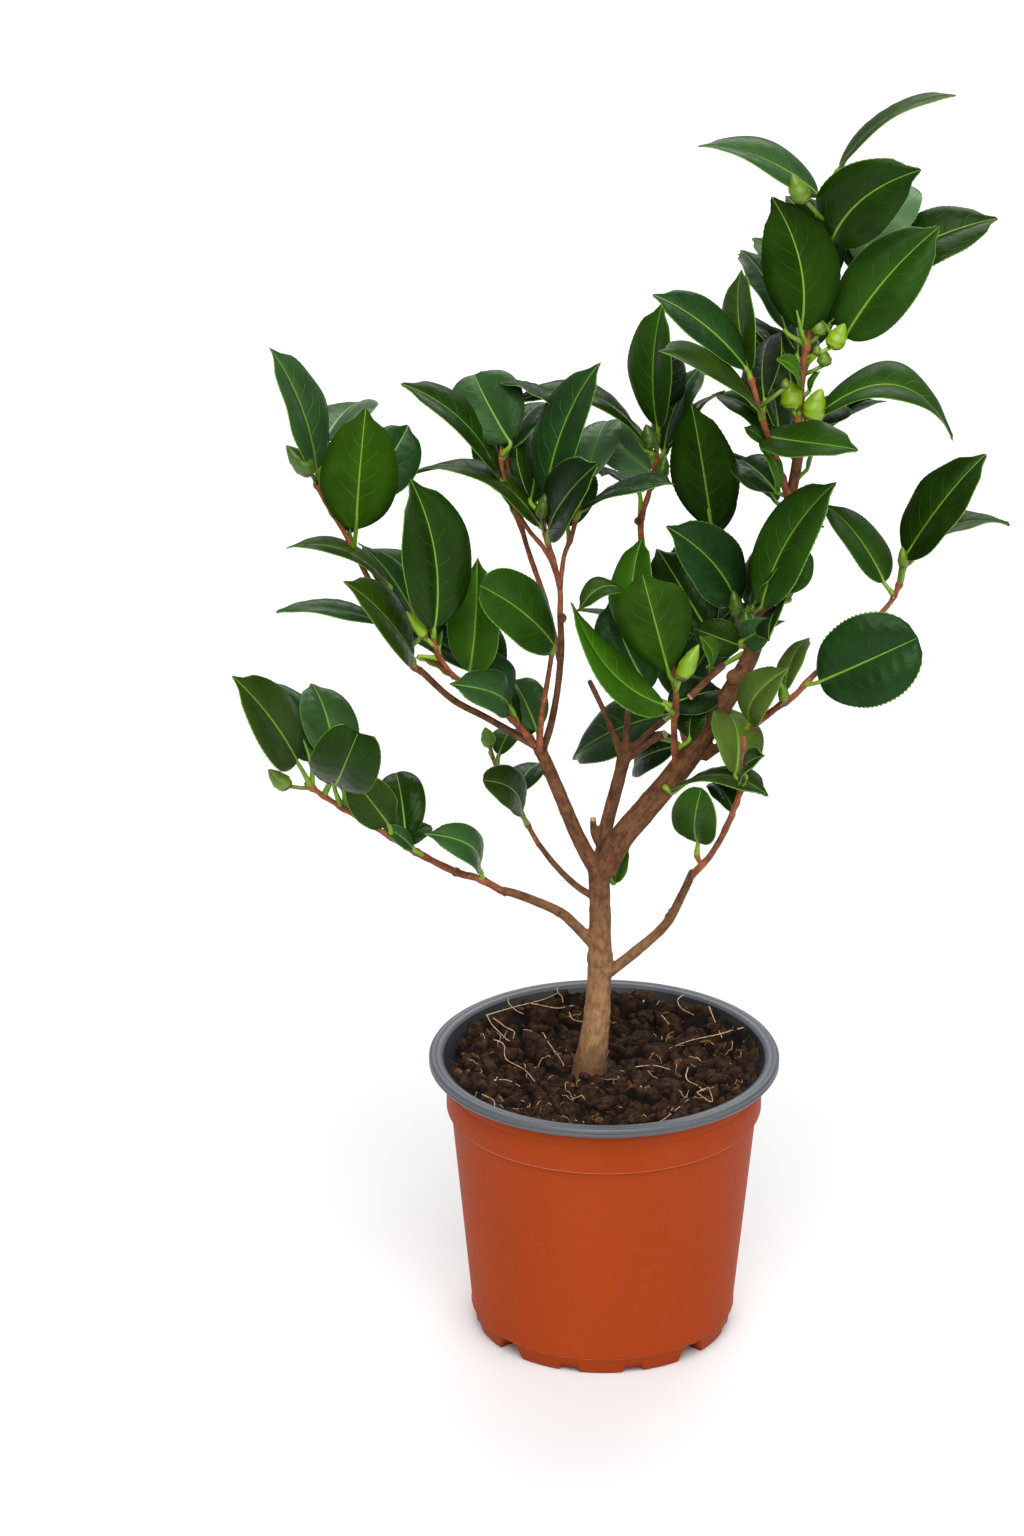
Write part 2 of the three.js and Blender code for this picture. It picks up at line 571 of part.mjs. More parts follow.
      { foot: [733, 600], tip: [668, 527], wide: 60, lies: BACK },
      { foot: [741, 646], tip: [693, 628], wide: 38, lies: FRONT, long: 30 },
      { foot: [708, 668], tip: [702, 637], wide: 14, lies: FRONT, long: 20 },
    ],
    buds: [{ foot: [738, 617], tip: [733, 590], wide: 6 }, { foot: [746, 630], tip: [746, 610], wide: 6 }],
    more: 3, seed: 83,
  },
  right_middle: {
    twigs: [{ route: [[768, 600, -2], [770, 590, -7], [775, 570, -13], [781, 550, -16]], wide: [2.2, 2, 1.9, 1.6] }],
    leaves: [
      { foot: [762, 607], tip: [836, 482], wide: 50, lies: FRONT },
      { foot: [777, 560], tip: [815, 503], wide: 40, lies: BACK, long: 36 },
      { foot: [780, 592], tip: [812, 538], wide: 50, lies: BACK, long: 40 },
      { foot: [790, 600], tip: [768, 640], wide: 25, lies: FRONT, long: 24 },
    ],
    more: 2, seed: 89,
  },
  right: {
    twigs: [{ route: [[737, 737, -10], [763, 718, -13], [779, 706, -15], [795, 695, -15], [813, 676, -12], [848, 645, 0],
      [882, 612, 12], [893, 598, 16], [903, 576, 19]], wide: [3.1, 2.8, 2.6, 2.4, 2.2, 2.1, 2, 1.9, 1.7] }],
    leaves: [
      { foot: [819, 682], tip: [917, 638], wide: 92, lies: FRONT, long: 42, bow: 2 },
      { foot: [750, 722], tip: [788, 668], wide: 40, lies: FRONT, long: 32, bow: 6 },
      { foot: [786, 690], tip: [809, 637], wide: 22, lies: BACK, long: 30 },
      { foot: [884, 583], tip: [824, 500], wide: 38, lies: BACK },
      { foot: [905, 558], tip: [984, 453], wide: 52 },
      { foot: [910, 563], tip: [1009, 522], wide: 20, bow: 7 },
    ],
    buds: [{ foot: [903, 568], tip: [902, 546], wide: 4.4 }, { foot: [784, 703], tip: [781, 682], wide: 4.4 }],
    more: 4, seed: 97,
  },
  low_right: {
    twigs: [
      { route: [[690, 877, -21], [703, 864, -23], [712, 853, -24], [725, 830, -27], [741, 789, -30], [743, 762, -30],
        [744, 736, -30]], wide: [3.1, 2.8, 2.5, 2.3, 2.2, 2.1, 1.8] },
      { route: [[702, 866, -23], [697, 856, -25], [697, 846, -26]], wide: [1.9, 1.8, 1.6], step: 6 },
    ],
    leaves: [
      { foot: [748, 783], tip: [673, 793], wide: 17, bow: 7, long: 34 },
      { foot: [698, 842], tip: [701, 790], wide: 46, lies: FRONT, long: 32 },
      { foot: [733, 812], tip: [710, 783], wide: 25, lies: BACK, long: 26 },
      { foot: [735, 775], tip: [722, 705], wide: 45, lies: BACK, long: 38 },
      { foot: [746, 778], tip: [763, 755], wide: 12, lies: FRONT, long: 16 },
    ],
    more: 3, seed: 101,
  },
  back_left: {
    twigs: [{ route: [[564, 800, -1], [535, 745, 24], [505, 690, 46], [470, 640, 62], [445, 590, 74]],
      wide: [2.8, 2.5, 2.2, 1.9, 1.6] }],
    more: 6, seed: 211,
  },
  back_upper_left: {
    twigs: [{ route: [[560, 660, 9], [545, 600, 42], [525, 540, 62], [508, 470, 78], [503, 430, 84]],
      wide: [2.5, 2.3, 2, 1.8, 1.5] }],
    more: 6, seed: 223,
  },
  back_middle: {
    twigs: [{ route: [[690, 757, -1], [680, 720, 28], [672, 670, 50], [668, 620, 68], [672, 580, 80]],
      wide: [3, 2.6, 2.3, 2, 1.6] }],
    more: 7, seed: 227,
  },
  back_right: {
    twigs: [{ route: [[786, 540, 0], [791, 520, 24], [798, 500, 42], [806, 470, 60], [815, 430, 74]],
      wide: [2.6, 2.4, 2.1, 1.9, 1.5] }],
    more: 5, seed: 229,
  },
  back_crown: {
    twigs: [{ route: [[798, 446, 0], [797, 420, 24], [805, 370, 42], [822, 310, 58], [835, 260, 68]],
      wide: [2.4, 2.2, 2, 1.8, 1.5] }],
    more: 6, seed: 233,
  },
};

// Growing

// The same draws every time, between 0 and 1.
function drawFrom(seed) {
  let state = seed;
  return () => {
    state = (state * 16807) % 2147483647;
    return state / 2147483647;
  };
}

// The point of a mass's twigs that is nearest to a leaf's foot as the viewer sees it, then a little lower.
function rootOf(twigs, foot) {
  let best = null;
  for (const twig of twigs) {
    const { points, pixels } = twig;
    for (let i = 0; i < points.length; i += 1) {
      const off = Math.hypot(pixels[i][0] - foot[0], pixels[i][1] - foot[1]);
      if (!best || off < best.off) best = { off, point: points[Math.max(0, i - twig.back)] };
    }
  }
  return best.point;
}

// Points along a twig, about a millimetre and a half apart, with the pixels where they show.
function traced(twig) {
  const curve = curveOf(twig.route);
  const long = curve.getLength();
  const count = Math.round(long / 1.5);
  const points = [];
  for (let i = 2; i <= count; i += 1) points.push(curve.getPoint(i / count));
  return { points, pixels: points.map(shownAt), back: Math.round(LEAF.join / 1.5) };
}

// The outline that a blade shows to the viewer.
function outlineOf(lie) {
  const side = lie.along.clone().cross(lie.upper).normalize();
  const edge = (sign) => OUTLINE.map(([share, width]) => shownAt(
    midrib(lie, share).addScaledVector(side, (sign * lie.wide * width) / 2)));
  return [...edge(1), ...edge(-1).reverse()];
}

function isInside([x, y], outline) {
  let inside = false;
  outline.forEach(([x1, y1], i) => {
    const [x2, y2] = outline[(i + 1) % outline.length];
    if (y1 > y !== y2 > y && x < ((x2 - x1) * (y - y1)) / (y2 - y1) + x1) inside = !inside;
  });
  return inside;
}

const SHIFTS = [0, 5, -5, 10, -10, 15, -15, 20, -20, 26, -26, 32, -32];
const SHRINKS = [1, 0.86, 0.72];
const TRIES = 40;
const HIDDEN_SHARE = 0.7;

function boxesMeet(a, b) {
  return [0, 1, 2].every((k) => a.min[k] <= b.max[k] && b.min[k] <= a.max[k]);
}

// Everything that stands so far, each with its box and the mass that it belongs to.
const standing = [];

function stand(solid, owner) {
  standing.push({ solid, owner, box: solid.boundingBox() });
}

function isClear(solid, owner) {
  const box = solid.boundingBox();
  return standing.every((other) => other.owner === owner || !boxesMeet(box, other.box)
    || other.solid.intersect(solid).isEmpty());
}

// A blade and its stalk keep clear of every other leaf, and of the twigs and limbs that aren't their own.
function hasRoom(lie, root, name) {
  return isClear(leafSolid(lie, GAP), name) && isClear(stalkSolid(root, lie.foot, LEAF.stalk + GAP), name);
}

function placeLeaf(mass, name, lie, root) {
  const whole = leafSolid(lie, 0, root);
  mass.parts.push(whole);
  mass.outlines.push(outlineOf(lie));
  stand(leafSolid(lie, 0), `${name} leaf`);
  stand(whole, name);
}

// A leaf made smaller, about its foot.
function shrunk(leaf, size) {
  const tip = leaf.foot.map((value, i) => value + (leaf.tip[i] - value) * size);
  return { ...leaf, tip, wide: leaf.wide * size, long: (leaf.long ?? LEAF.long) * size };
}

// A leaf that shows is tried at several depths of its tip, and then smaller, until it has room.
function growShown(mass, name, leaf) {
  const root = rootOf(mass.traces, leaf.foot);
  for (const size of SHRINKS) {
    for (const shift of SHIFTS) {
      const lie = blade(shrunk(leaf, size), root.y + (leaf.lies ?? 0) * 3 + shift * 0.3, shift);
      if (hasRoom(lie, root, name)) {
        placeLeaf(mass, name, lie, root);
        return;
      }
    }
  }
}

// More leaves stand round the twigs in a spiral, on the far side, where the viewer sees leaves already.
function growHidden(mass, name, count, seed, covers) {
  const draw = drawFrom(seed);
  let spiral = draw() * 360;
  let grown = 0;
  for (let i = 0; i < count * TRIES && grown < count; i += 1) {
    const trace = mass.traces[Math.floor(draw() * mass.traces.length)];
    const at = Math.floor((0.25 + 0.75 * draw()) * (trace.points.length - 1));
    const root = trace.points[at];
    const twig = root.clone().sub(trace.points[Math.max(0, at - 3)]).normalize();
    spiral += 137.5;
    const turn = THREE.MathUtils.degToRad(spiral);
    const rise = 0.25 + 0.5 * draw();
    const long = LEAF.long * (0.72 + 0.3 * draw());
    const out = new THREE.Vector3(Math.cos(turn), Math.sin(turn), rise).normalize();
    const along = out.addScaledVector(twig, 0.45).normalize();
    if (along.y < -0.1) continue;
    const level = new THREE.Vector3(0, 0, 1).cross(along).normalize();
    const upper = along.clone().cross(level).normalize().addScaledVector(level, draw() - 0.5).normalize();
    const foot = root.clone().addScaledVector(along, 7);
    const square = upper.addScaledVector(along, -upper.dot(along)).normalize();
    const lie = { foot, along, reach: long, wide: long * LEAF.slim, upper: square, bow: 3 + 4 * draw() };
    const outline = outlineOf(lie);
    const hidden = outline.filter((pixel) => covers.some((cover) => isInside(pixel, cover))).length;
    if (hidden >= outline.length * HIDDEN_SHARE && hasRoom(lie, root, name)) {
      placeLeaf(mass, name, lie, root);
      grown += 1;
    }
  }
}

function growBud(mass, name, { foot, tip, wide }) {
  const root = rootOf(mass.traces, foot);
  const depth = root.y - 1.5;
  const low = seen(...foot, depth);
  const bud = budSolid(low, seen(...tip, depth), wide);
  if (!isClear(bud, name)) return;
  mass.parts.push(bud, stalkSolid(root, low, LEAF.stalk));
  stand(bud, name);
}

// Assembly

const shrub = new THREE.Group();

function add(name, solid, colour, roughness = 0.7) {
  const material = new THREE.MeshStandardMaterial({ color: colour, roughness, metalness: 0 });
  const mesh = new THREE.Mesh(geometryOf(solid), material);
  mesh.name = name;
  shrub.add(mesh);
  return mesh;
}

add('pot', potBody(), '#b84a22', 0.55);
add('pot_rim', potRim(), '#4a4d51', 0.5);
add('potting_soil', soilBall(), '#3b281c', 0.95);

// Each limb is cut clear of those before it, so the trunk and the leader stay whole.
const limbSolids = {};
const limbCuts = {};
const ground = boxSolid([200, 200, 60], [0, 0, SOIL.top + GAP - 30]);
for (const [name, sizes] of Object.entries(LIMBS)) {
  let solid = limb(sizes);
  let cut = limb(sizes, GAP);
  for (const spur of sizes.spurs ?? []) {
    solid = solid.add(limb(spur));
    cut = cut.add(limb(spur, GAP));
  }
  if (name === 'trunk') solid = solid.subtract(ground);
  for (const before of Object.values(limbCuts)) solid = solid.subtract(before);
  limbSolids[name] = largest(solid);
  limbCuts[name] = cut;
  stand(limbSolids[name], name);
  add(name, limbSolids[name], name === 'trunk' ? '#93775a' : '#7d5f45', 0.85);
}

// The twigs of every mass come first, then the leaves that show, then those behind.
const masses = {};
for (const [name, { twigs }] of Object.entries(MASSES)) {
  const mass = { parts: [], outlines: [], traces: twigs.map(traced) };
  for (const twig of twigs) {
    let solid = limb({ sides: 4, step: 18, ...twig });
    for (const cut of Object.values(limbCuts)) solid = solid.subtract(cut);
    mass.parts.push(largest(solid));
    stand(mass.parts.at(-1), name);
  }
  masses[name] = mass;
}
for (const [name, { leaves = [], buds = [] }] of Object.entries(MASSES)) {
  for (const bud of buds) growBud(masses[name], name, bud);
  for (const leaf of leaves) growShown(masses[name], name, leaf);
}
const covers = Object.values(masses).flatMap((mass) => mass.outlines);
for (const [name, { more = 0, seed }] of Object.entries(MASSES)) {
  growHidden(masses[name], name, more, seed, covers);
}

for (const [name, mass] of Object.entries(masses)) {
  let solid = wasm.Manifold.union(mass.parts);
  for (const cut of Object.values(limbCuts)) solid = solid.subtract(cut);
  add(`foliage_${name}`, tidied(solid), '#2f5227', 0.45);
}

export default shrub;
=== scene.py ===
"""A camellia shrub in its nursery pot, dressed for the render.

Sizes here are in millimetres, and each finished mesh is brought to metres at the end.
Every limb, leaf and bud is placed by the pixel where it shows and by how far back it lies, as in the source.
"""
import math
import random

import bmesh
import bpy
from mathutils import Matrix, Quaternion, Vector, kdtree, noise
from mathutils.bvhtree import BVHTree


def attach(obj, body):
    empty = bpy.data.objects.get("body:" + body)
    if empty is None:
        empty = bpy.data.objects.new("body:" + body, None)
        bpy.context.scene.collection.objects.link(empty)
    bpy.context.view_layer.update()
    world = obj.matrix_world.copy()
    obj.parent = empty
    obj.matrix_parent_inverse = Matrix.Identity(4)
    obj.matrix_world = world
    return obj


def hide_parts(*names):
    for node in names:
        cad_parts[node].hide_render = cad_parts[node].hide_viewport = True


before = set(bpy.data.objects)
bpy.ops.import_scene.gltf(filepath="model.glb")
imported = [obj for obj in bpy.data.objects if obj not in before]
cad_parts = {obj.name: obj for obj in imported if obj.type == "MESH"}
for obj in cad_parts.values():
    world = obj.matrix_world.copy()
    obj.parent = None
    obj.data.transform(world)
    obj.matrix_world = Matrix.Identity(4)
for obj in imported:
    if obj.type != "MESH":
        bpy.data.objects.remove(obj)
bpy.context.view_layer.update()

MM = 0.001
POT = {"height": 114.6, "rim": 68.1, "lip": 63, "neck": 61.7, "shoulder": 59.6, "foot": 51.4, "lug": 6.5}
BAND = {"top": 110.2, "low": 92.2}
SOIL_TOP = 107.4
LEAF = {"long": 49, "slim": 0.52, "fold": 0.16, "join": 5}

# noise_vector takes its offsets from this seed, or else from the clock.
noise.seed_set(5)

# The camera: a long lens, a little above the crown. Pixels are those of the 1024 by 1536 picture.
IMAGE = (1024, 1536)
LENS = 135
SENSOR = 36
FOCAL = LENS / SENSOR * IMAGE[1]
DOWN = math.radians(22.8)
AWAY = 2193
AIM = Vector((-35.8, 0, 234.4))
AHEAD = Vector((0, math.cos(DOWN), -math.sin(DOWN)))
UP = Vector((0, math.sin(DOWN), math.cos(DOWN)))
RIGHT = Vector((1, 0, 0))
EYE = AIM - AHEAD * AWAY


# The limbs and masses of the source

def limb(stops, sizes, **more):
    """A limb or a twig: the pixels that it passes, each with its depth, and how thick it is on the way."""
    route = [[float(value) for value in stop.split()] for stop in stops.split(",")]
    return {"route": route, "wide": [float(size) for size in sizes.split()], **more}


def leaf(foot_x, foot_y, tip_x, tip_y, wide, **more):
    """A leaf or a bud: the pixels of its foot and tip, and its width, which is in millimetres for a bud."""
    return {"foot": (foot_x, foot_y), "tip": (tip_x, tip_y), "wide": wide, **more}


# A leaf lies to the front or to the back of its twig.
FRONT = -1
BACK = 1

LIMBS = {
    "trunk": limb("588 1082 0, 594 1040 0, 598 1000 0, 600 955 0, 600 905 0, 599 874 0, 600 856 0",
        "14.2 11.4 9.8 9.2 8.1 8.8 8.6", flare=0.05),
    "leader": limb(
        "604 872 0, 619 841 -1, 651 803 -2, 690 755 -3, 724 703 -3, 751 655 -3, 765 609 -1, "
        "783 559 0, 791 498 0, 797 462 0, 799 428 0",
        "9 9.8 9.4 9 7.8 6.6 4.9 4.5 4.3 4.2 3.9", spurs=[
        limb("724 664 -4, 708 679 -8, 689 698 -11", "3.2 2.8 3"),
    ]),
    "left_bough": limb("596 870 0, 579 839 -1, 567 812 -2, 556 785 -3, 546 762 -4, 539 748 -5",
        "6.2 5.8 5.4 5.2 5 5.2"),
    "middle_bough": limb("600 866 2, 607 824 5, 615 793 8, 621 770 10, 625 752 12",
        "5.8 5.4 5.2 5.1 5.6", spurs=[
        limb("622 757 11, 607 718 16, 589 680 20", "3 2.4 2.2"),
        limb("624 757 11, 644 737 14, 666 719 17", "3.2 2.6 2.4"),
        limb("624 761 11, 650 742 8, 666 733 5", "3.2 2.8 3.4"),
        limb("600 846 3, 594 833 4, 593 817 4", "3.2 2.8 2.4"),
    ]),
    "left_low_bough": limb("541 749 -5, 518 736 -7, 487 718 -10, 452 699 -15, 418 668 -21",
        "3.4 3.1 2.8 2.7 2.6"),
    "inner_bough": limb("543 750 -3, 551 724 1, 558 686 6, 561 645 12, 560 612 17", "3.2 2.9 2.7 2.9 2.4"),
    "upper_bough": limb("626 749 13, 628 711 18, 632 650 29, 640 585 38, 642 545 42", "3.2 2.7 2.5 2.4 2.6"),
    "right_bough": limb("703 757 -4, 722 745 -7, 740 735 -10", "4.2 3.6 3.2"),
    "lower_right_bough": limb("604 976 -1, 635 952 -7, 665 925 -13, 682 895 -18, 693 871 -22",
        "4.6 4.2 3.8 3.4 3.2"),
    "lower_left_bough": limb("600 951 0, 575 925 -3, 558 911 -6, 522 896 -11, 502 890 -14",
        "4.6 4.2 3.9 3.5 3.2"),
    "low_twig": limb("600 900 1, 578 887 5, 556 866 11, 537 842 19", "3.2 2.8 2.5 2.2"),
}

# Each mass has its twigs, and the leaves and buds that show. A leaf's row is the source's, and look is what
# the drawn leaf changes in it. tones colour the leaves in turn, extra are leaves of this script alone, and
# more says how many leaves the source tries to put behind them, drawn from seed.
MASSES = {
    "crown": {
        "tones": "olive grey dark bright green dark pale blue blue green deep light",
        "twigs": [
            limb("799 434 0, 799 410 0, 801 380 1, 809 333 2, 819 290 4, 827 245 5, 839 171 3",
                "3.8 3.5 3.1 2.4 2.1 1.9 1.7"),
            limb("811 325 2, 842 293 9, 878 269 15", "1.9 1.7 1.5"),
        ],
        "leaves": [
            leaf(839, 169, 955, 93, 14, bow=9, look=dict(bow=6, sway=0)),
            leaf(814, 193, 700, 148, 38, bow=6, lies=FRONT,
                 look=dict(foot=(818, 195), tip=(700, 142), bow=4, wide=34, hook=0.5, twist=16, sway=0.5)),
            leaf(828, 243, 921, 170, 60, lies=FRONT, look=dict(wide=76, sway=-5.5, foot=(830, 246))),
            leaf(801, 330, 771, 195, 77, face="under", lies=FRONT, bow=-3, look=dict(sway=-5)),
            leaf(846, 335, 940, 226, 65, lies=FRONT,
                 look=dict(foot=(845, 338), wide=74, sway=-1.8, shape=(0.56, 0.76))),
            leaf(880, 268, 998, 218, 55, lies=BACK),
            leaf(850, 270, 913, 185, 45, lies=BACK,
                 look=dict(foot=(858, 262), tip=(908, 183), wide=58, blunt=True)),
            leaf(785, 330, 741, 249, 35, lies=BACK),
            leaf(790, 365, 788, 292, 32, lies=BACK, look=dict(foot=(797, 355), tip=(782, 302), wide=30)),
            leaf(820, 414, 955, 430, 38, bow=16, look=dict(wide=36, hook=3)),
            leaf(818, 424, 849, 406, 30, lies=BACK, long=26),
            leaf(799, 386, 777, 359, 14, lies=FRONT, long=22),
        ],
        "extra": [
            leaf(809, 391, 820, 371, 7, long=12, tone="light", bow=1),
        ],
        "buds": [leaf(806, 203, 792, 173, 7.6, out=15), leaf(831, 349, 845, 323, 7.6, tone="bright", out=2),
                 leaf(792, 410, 790, 380, 8.6, tone="bright", out=1),
                 leaf(812, 422, 822, 388, 8.8, tone="bright", out=2), leaf(820, 335, 820, 318, 6.1),
                 leaf(825, 366, 825, 350, 5.8), leaf(817, 355, 817, 345, 3.6), leaf(799, 416, 799, 408, 2.9),
                 leaf(803, 424, 803, 417, 2.5)],
        "more": 5, "seed": 11,
    },
    "crown_left": {
        "tones": "blue olive olive deep dark green blue light",
        "twigs": [
            limb("791 503 0, 784 484 -3, 775 457 -7, 765 427 -11, 756 396 -12, 749 372 -11",
                "3.4 3 2.6 2.3 2 1.7"),
        ],
        "leaves": [
            leaf(745, 368, 653, 294, 40),
            leaf(750, 372, 740, 269, 35, lies=BACK, flip=True),
            leaf(757, 408, 660, 348, 25, bow=9, lies=FRONT, look=dict(bow=3, wide=24)),
            leaf(765, 400, 771, 333, 38, lies=BACK),
            leaf(778, 431, 752, 346, 32, lies=BACK),
            leaf(784, 466, 855, 450, 45, bow=13, lies=FRONT,
                 look=dict(foot=(764, 436), tip=(857, 446), wide=38, bow=1, sway=2.5)),
            leaf(776, 492, 736, 458, 40, lies=BACK, long=36),
            leaf(762, 449, 777, 494, 12, lies=FRONT, long=20),
        ],
        "extra": [
            leaf(764, 441, 744, 427, 14, long=12, tone="green", bow=2),
        ],
        "buds": [leaf(786, 388, 786, 378, 3.6)],
        "more": 3, "seed": 23,
    },
    "upper_middle": {
        "tones": "green dark blue dark deep bright pale blue",
        "twigs": [
            limb("642 550 42, 641 519 44, 649 493 45, 655 465 45, 658 438 45, 661 410 45",
                "2.6 2.5 2.2 2 1.9 1.6"),
            limb("727 577 22, 717 552 25, 706 530 27", "1.8 1.6 1.4"),
        ],
        "leaves": [
            leaf(658, 427, 662, 303, 43, lies=FRONT),
            leaf(645, 450, 506, 405, 18, bow=13, lies=FRONT),
            leaf(665, 450, 703, 363, 33, lies=BACK),
            leaf(665, 455, 724, 390, 14, lies=BACK),
            leaf(664, 405, 661, 330, 30, lies=BACK),
            leaf(706, 525, 689, 403, 65, face="under", bow=-3,
                 look=dict(foot=(712, 527), tip=(692, 402), wide=67, sway=-1)),
            leaf(650, 472, 606, 425, 50, lies=BACK, long=40, look=dict(blunt=True)),
            leaf(640, 505, 600, 470, 34, lies=BACK, long=40,
                 look=dict(foot=(638, 492), tip=(602, 474), wide=13)),
        ],
        "buds": [leaf(650, 449, 646, 424, 7, tone="deep"), leaf(661, 479, 666, 456, 5.4, tone="deep"),
                 leaf(656, 442, 656, 432, 3.6), leaf(651, 458, 651, 448, 3.6)],
        "more": 4, "seed": 31,
    },
    "centre_left": {
        "tones": "dark grey deep blue dark blue deep olive dark pale blue",
        "twigs": [
            limb(
                "560 617 16, 560 590 20, 553 565 22, 543 547 24, 528 529 27, 511 500 30, 502 470 32, "
                "501 446 34",
                "2.3 2.2 2 1.9 1.8 1.7 1.6 1.4"),
            limb("560 588 20, 554 560 20, 545 530 19, 545 480 22, 552 436 26", "2 1.8 1.7 1.6 1.4"),
            limb("560 590 20, 564 557 23, 572 535 27, 579 505 32, 589 478 36", "2 1.9 1.8 1.6 1.5"),
        ],
        "leaves": [
            leaf(500, 480, 401, 383, 30, bow=6),
            leaf(500, 440, 462, 375, 50, lies=BACK,
                 look=dict(foot=(510, 442), tip=(474, 374), wide=74, blunt=True)),
            leaf(558, 412, 500, 382, 14, lies=BACK, long=40, look=dict(wide=9, deep=10)),
            leaf(508, 450, 545, 400, 32, lies=BACK, long=40),
            leaf(530, 500, 530, 418, 40, lies=BACK),
            leaf(546, 496, 597, 361, 48, lies=FRONT, look=dict(deep=-3)),
            leaf(553, 532, 592, 463, 40, lies=BACK,
                 look=dict(lies=FRONT, foot=(549, 530), tip=(597, 463), wide=46)),
            leaf(540, 527, 402, 476, 22, bow=12),
            leaf(565, 475, 572, 420, 30, lies=BACK, long=36),
            leaf(590, 475, 640, 415, 50, lies=BACK, long=40,
                 look=dict(foot=(588, 478), tip=(607, 419), wide=44, blunt=True)),
            leaf(583, 510, 674, 481, 20, bow=8, lies=FRONT, look=dict(bow=3, wide=14)),
        ],
        "buds": [leaf(540, 518, 548, 491, 5.8, tone="deep", out=4)],
        "more": 3, "seed": 43,
    },
    "upper_left": {
        "tones": "grey light blue grey grey olive olive blue",
        "twigs": [
            limb(
                "422 673 -20, 409 661 -21, 395 630 -19, 369 580 -15, 347 537 -11, 333 514 -9, "
                "322 496 -8, 314 478 -7",
                "2.5 2.4 2.3 2.1 2 1.9 1.8 1.6"),
        ],
        "leaves": [
            leaf(316, 470, 271, 347, 42),
            leaf(356, 530, 366, 406, 78, face="under", lies=FRONT, bow=-3),
            leaf(345, 495, 398, 419, 62, lies=BACK, look=dict(foot=(362, 497), tip=(409, 424))),
            leaf(318, 452, 366, 410, 45, lies=BACK, look=dict(foot=(324, 443), tip=(363, 401))),
            leaf(385, 625, 276, 609, 20, bow=12, look=dict(bow=3, wide=17)),
            leaf(388, 585, 287, 544, 17, bow=6),
            leaf(413, 658, 347, 580, 38, lies=FRONT),
            leaf(420, 632, 359, 541, 30, lies=BACK),
        ],
        "buds": [leaf(313, 475, 286, 445, 8, tone="deep", out=4)],
        "more": 4, "seed": 59,
    },
    "left_middle": {
        "tones": "dark bright grey grey dark",
        "twigs": [
            limb("537 748 -6, 515 722 -14, 480 695 -26, 452 674 -34, 437 652 -39, 432 628 -40",
                "2.8 2.5 2.3 2.1 2 1.7"),
        ],
        "leaves": [
            leaf(434, 629, 411, 479, 71, lies=FRONT, look=dict(sway=3.3)),
            leaf(470, 672, 475, 558, 55, lies=FRONT,
                 look=dict(tip=(476, 558), wide=54, sway=3, deep=3, lies=0)),
            leaf(512, 712, 452, 704, 45, bow=6, lies=FRONT, long=34,
                 look=dict(foot=(508, 706), tip=(450, 684), wide=42)),
            leaf(508, 706, 470, 650, 40, lies=FRONT, long=38),
            leaf(528, 735, 508, 680, 25, lies=BACK, long=34),
        ],
        "extra": [
            leaf(419, 658, 454, 680, 7, long=16, tone="dry", bow=1),
            leaf(439, 646, 442, 631, 4, long=6, tone="light", bow=0),
        ],
        "buds": [leaf(427, 640, 406, 611, 4.2, tone="bright")],
        "more": 3, "seed": 61,
    },
    "inner_left": {
        "tones": "green grey",
        "twigs": [
            limb("539 752 -8, 542 714 -11, 548 678 -14, 554 640 -16", "2.4 2.2 2 1.6"),
        ],
        "leaves": [
            leaf(553, 645, 480, 585, 58, lies=FRONT, look=dict(blunt=True)),
            leaf(537, 730, 512, 678, 45, lies=BACK, long=34),
        ],
        "more": 1, "seed": 67,
    },
    "low_left": {
        "tones": "olive blue grey dark olive dark blue grey blue",
        "twigs": [
            limb(
                "506 893 -13, 480 879 -18, 456 872 -22, 416 852 -28, 381 831 -33, 333 802 -39, "
                "305 783 -42",
                "3.1 2.8 2.9 2.4 2.2 2 1.8"),
        ],
        "leaves": [
            leaf(297, 762, 235, 676, 55, lies=FRONT),
            leaf(310, 762, 262, 680, 50, lies=BACK),
            leaf(335, 765, 312, 682, 55, lies=BACK),
            leaf(338, 785, 358, 729, 68, lies=FRONT, long=36, bow=6,
                 look=dict(foot=(335, 784), tip=(356, 737), wide=69, shape=(0.7, 0.36), point=0, notch=4.4)),
            leaf(385, 826, 352, 783, 42, lies=FRONT, long=34,
                 look=dict(foot=(388, 824), tip=(352, 778), wide=46, blunt=True, deep=-3)),
            leaf(408, 845, 395, 775, 50, lies=FRONT, long=38,
                 look=dict(foot=(406, 840), tip=(396, 771), wide=48, blunt=True, lies=BACK)),
            leaf(342, 788, 308, 748, 35, lies=BACK, long=34),
            leaf(478, 866, 427, 848, 30, bow=8, lies=FRONT, long=30,
                 look=dict(foot=(479, 869), tip=(426, 833), wide=34)),
            leaf(405, 846, 432, 826, 20, lies=BACK, long=18),
        ],
        "extra": [
            leaf(413, 849, 382, 826, 17, long=15, tone="grey", bow=2, lies=FRONT),
        ],
        "buds": [leaf(290, 788, 268, 769, 6.8), leaf(411, 851, 411, 843, 2.9)],
        "more": 3, "seed": 71,
    },
    "low_middle": {
        "tones": "olive blue green",
        "twigs": [
            limb("539 845 18, 525 820 25, 502 776 34, 489 751 38", "2.1 1.9 1.7 1.5"),
        ],
        "leaves": [
            leaf(523, 813, 492, 777, 45, lies=FRONT, long=30,
                 look=dict(foot=(521, 814), tip=(485, 781), wide=36, blunt=True, sway=3.5)),
            leaf(515, 795, 542, 762, 30, lies=BACK, long=34),
            leaf(499, 755, 515, 728, 25, lies=BACK, long=24),
        ],
        "buds": [leaf(490, 747, 485, 727, 6)],
        "more": 2, "seed": 73,
